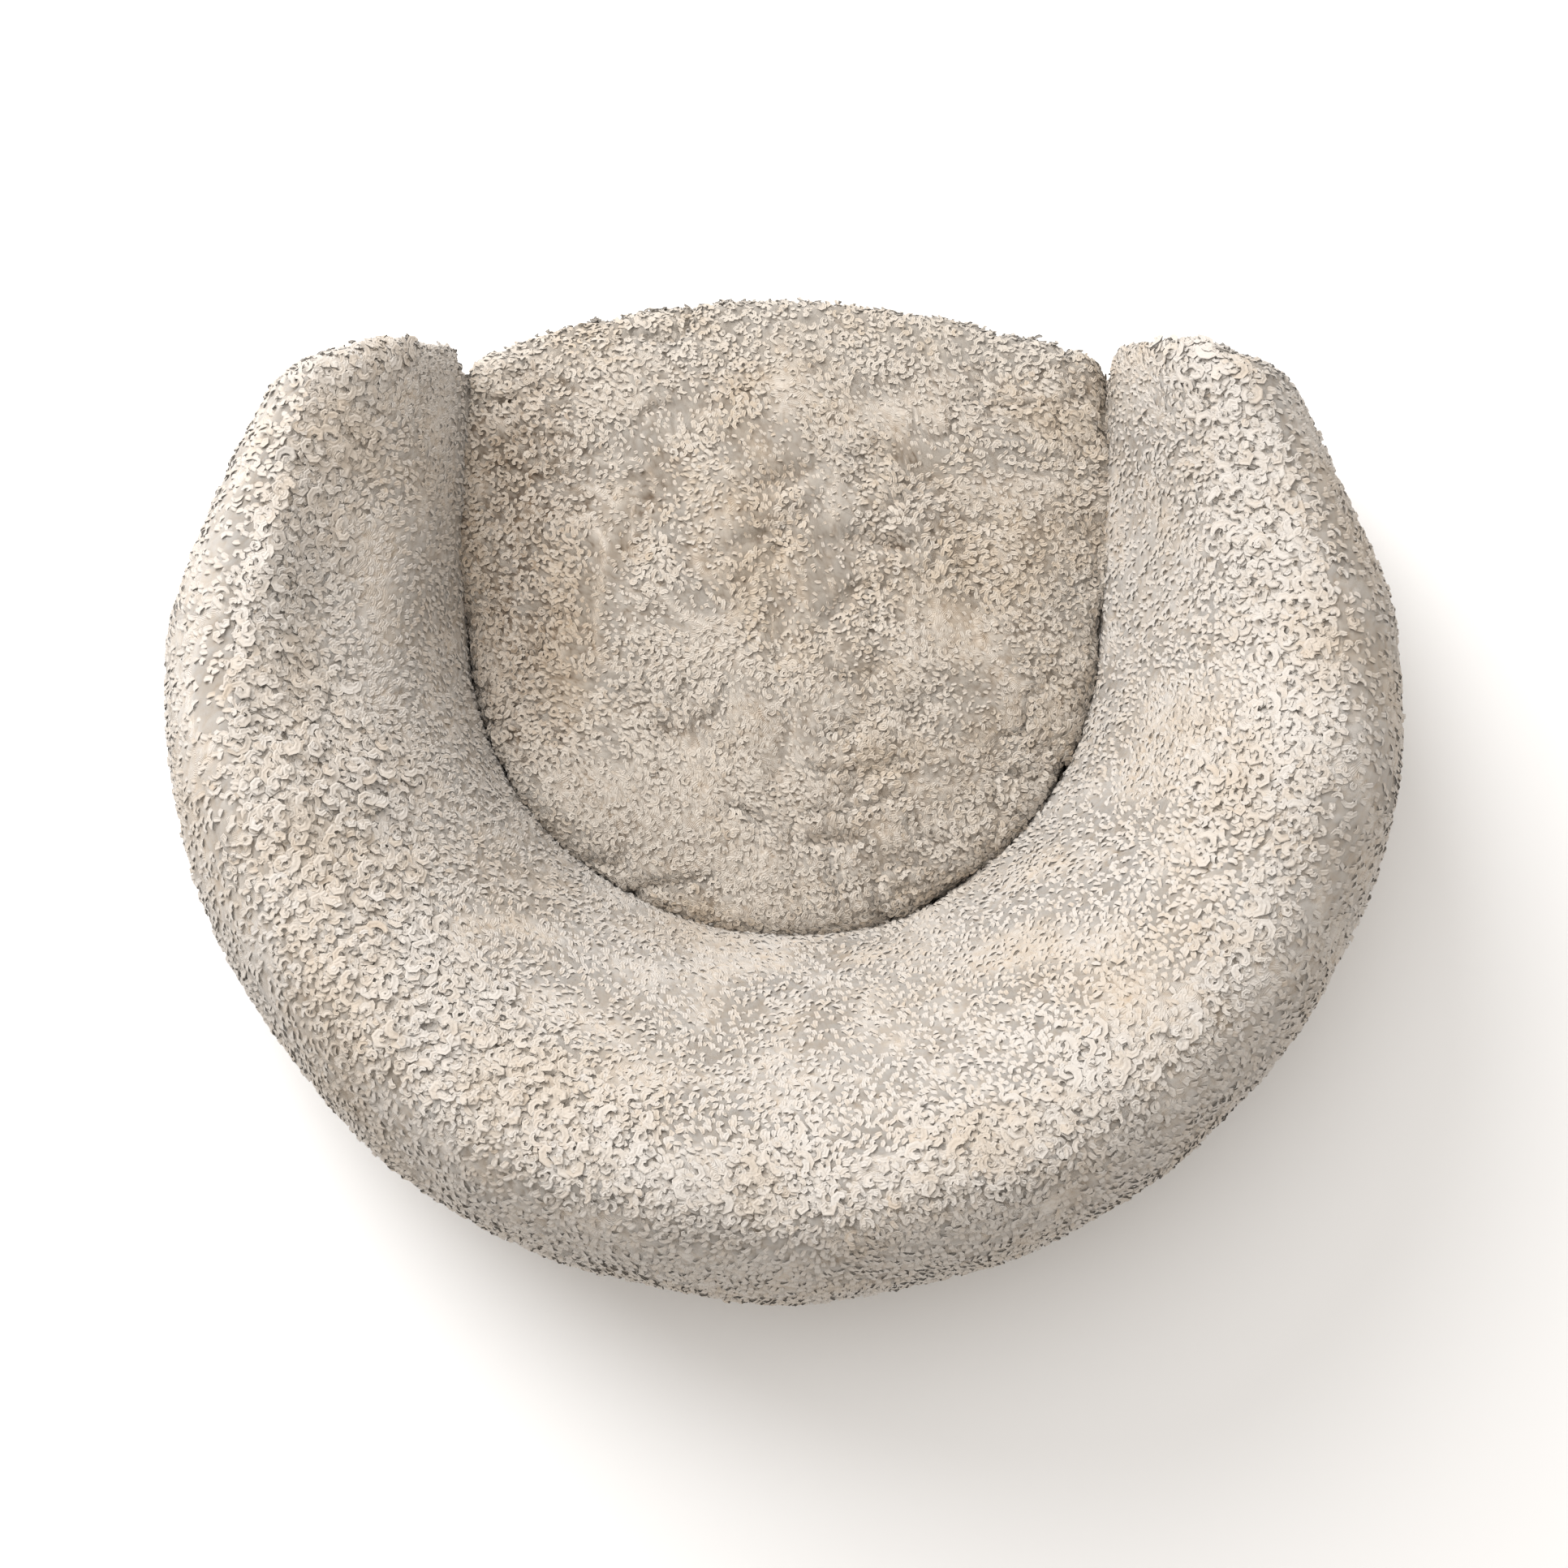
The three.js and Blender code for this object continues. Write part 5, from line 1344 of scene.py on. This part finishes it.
def many(name, points, faces, frames, body, material):
    """One piece from a small shape set at many places. Each frame is (origin, along, across, up)."""
    all_points, all_faces = [], []
    for number, (origin, *axes) in enumerate(frames):
        all_points.append(np.asarray(origin) + points @ np.array(axes))
        all_faces.extend(tuple(index + number * len(points) for index in face) for face in faces)
    mesh = bpy.data.meshes.new(name)
    mesh.from_pydata(np.concatenate(all_points).tolist(), [], all_faces)
    mesh.materials.append(material)
    made = bpy.data.objects.new(name, mesh)
    bpy.context.scene.collection.objects.link(made)
    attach(made, body)
    print(name, "repeats", len(all_points), "times")
    return made


def arc_frame(radius, angle, height):
    """A place on the plinth's arc: along it, up it, and out of it."""
    sine, cosine = math.sin(angle), math.cos(angle)
    origin = (radius * sine, ARC_Y + radius * cosine, height)
    return origin, (cosine, -sine, 0), (0, 0, 1), (sine, cosine, 0)


tooth_points, tooth_faces = one_tooth()
chain_low, chain_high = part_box("plinth_zip_chain")
chain_z = (chain_low.z + chain_high.z) / 2
chain_radius = chain_high.y - ARC_Y - 1 * MM
chain_end = math.asin(chain_high.x / (chain_radius + 1 * MM))
teeth = []
for number in range(int(2 * chain_end * chain_radius / TOOTH_PITCH)):
    side = 1 if number % 2 else -1
    angle = chain_end - (number + 0.5) * TOOTH_PITCH / chain_radius
    teeth.append(arc_frame(chain_radius, angle, chain_z + side * TOOTH_OFFSET))
plinth_teeth = many("plinth_teeth", tooth_points, tooth_faces, teeth, "bed", old_brass)
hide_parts("plinth_zip_chain")

chain_low, chain_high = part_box("cushion_zip_chain")
chain_y, chain_z = (chain_low.y + chain_high.y) / 2, (chain_low.z + chain_high.z) / 2
teeth = []
for number in range(int((chain_high.x - chain_low.x) / TOOTH_PITCH)):
    side = 1 if number % 2 else -1
    x = chain_low.x + (number + 0.5) * TOOTH_PITCH
    teeth.append(((x, chain_y + side * TOOTH_OFFSET, chain_z), (1, 0, 0), (0, 1, 0), (0, 0, 1)))
cushion_teeth = many("cushion_teeth", tooth_points, tooth_faces, teeth, "cushion", old_brass)
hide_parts("cushion_zip_chain")

# %% [markdown]
# ## Stitching
# Every cloth edge is sewn down with a strong pale thread. A stitch is a short round grain of thread that dips into
# the cloth at both ends. Lines of it run round the plinth's edges, beside both zips, and round the cushion's sole.

# %% Stitches
STITCH_LENGTH = 3.4 * MM
STITCH_STEP = 4.6 * MM
THREAD = 0.45 * MM
PROUD = 0.1 * MM  # how far a stitch's middle stands off the cloth
BAND_TURN, SLOT_TURN = math.radians(86), math.radians(60)  # how far the lines run round, each side

thread_material, thread_tree, thread_surface = start_material("sewing_thread", 0.7, Sheen_Weight=0.3)
twist = noise(thread_tree, object_place(thread_tree), 2200.0, 2.0)
connect(
    thread_tree,
    mix_colour(thread_tree, twist, (0.50, 0.44, 0.35), (0.80, 0.75, 0.66)),
    thread_surface.inputs["Base Color"],
)
connect(thread_tree, bump(thread_tree, twist, 0.1 * MM, 0.6), thread_surface.inputs["Normal"])


def one_stitch():
    """A five-sided grain of thread along X, thickest in its middle, whose ends dip down."""
    bpy.ops.object.select_all(action="DESELECT")
    bpy.ops.mesh.primitive_uv_sphere_add(segments=5, ring_count=4, radius=1)
    stitch = bpy.context.active_object
    points = np.array([v.co[:] for v in stitch.data.vertices])
    faces = [tuple(face.vertices) for face in stitch.data.polygons]
    bpy.data.objects.remove(stitch)
    points = points[:, (2, 0, 1)] * (STITCH_LENGTH / 2, THREAD, THREAD)
    points[:, 2] -= (points[:, 0] / (STITCH_LENGTH / 2)) ** 2 * 0.35 * MM
    return points, faces


def along_line(line, up):
    """Frames at even steps along a line of points, for stitches whose top faces up(point)."""
    line = np.asarray(line, float)
    run = np.concatenate([[0], np.cumsum(np.linalg.norm(np.diff(line, axis=0), axis=1))])
    frames = []
    for place in np.arange(STITCH_STEP / 2, run[-1], STITCH_STEP):
        here, ahead = (
            np.array([np.interp(place + more, run, line[:, k]) for k in range(3)]) for more in (0, 0.5 * MM)
        )
        along = (ahead - here) / max(np.linalg.norm(ahead - here), 1e-9)
        top = np.asarray(up(here), float)
        across = np.cross(top, along)
        frames.append((here, along, across, top))
    return frames


def arc_line(radius, height, reach_angle):
    turns = np.linspace(-reach_angle, reach_angle, 181)
    return [(radius * math.sin(a), ARC_Y + radius * math.cos(a), height) for a in turns]


def outward(point):
    away = np.array((point[0], point[1] - ARC_Y, 0.0))
    return away / np.linalg.norm(away)


stitch_points, stitch_faces = one_stitch()
band_face = PLINTH_RADIUS + PROUD
slot_middle = (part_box("plinth_zip_chain")[0].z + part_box("plinth_zip_chain")[1].z) / 2
frames = []
for height, turn in (
    (plinth_low.z + 3 * MM, BAND_TURN),
    (PLINTH_TOP - 3 * MM, BAND_TURN),
    (slot_middle + 8 * MM, SLOT_TURN),
    (slot_middle - 8 * MM, SLOT_TURN),
):
    frames += along_line(arc_line(band_face, height, turn), outward)
many("plinth_stitches", stitch_points, stitch_faces, frames, "bed", thread_material)

frames = []
sole_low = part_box("cushion_underside")[0]
outline = cushion_outline()
inset = CUSHION_MIDDLE + (outline - CUSHION_MIDDLE) * 0.955
ring = np.column_stack([inset, np.full(len(inset), sole_low.z - PROUD)])
frames += along_line(ring, lambda point: (0, 0, -1))
for side in (-1, 1):
    y = chain_y + side * 8 * MM
    line = [(x, y, sole_low.z - PROUD) for x in (chain_low.x, chain_high.x)]
    frames += along_line(line, lambda point: (0, 0, -1))
many("cushion_stitches", stitch_points, stitch_faces, frames, "cushion", thread_material)

# %% [markdown]
# ## The floor
# A plain pale floor stands for the room. It is only there to catch a soft shadow.

# %% Floor
bpy.ops.object.select_all(action="DESELECT")
bpy.ops.mesh.primitive_plane_add(size=30, location=(0, 0, 0))
floor = bpy.context.active_object
floor.name = "floor"
floor_material, _, floor_surface = start_material("floor_white", 0.9)
floor_surface.inputs["Base Color"].default_value = (0.95, 0.95, 0.95, 1)
floor.data.materials.append(floor_material)
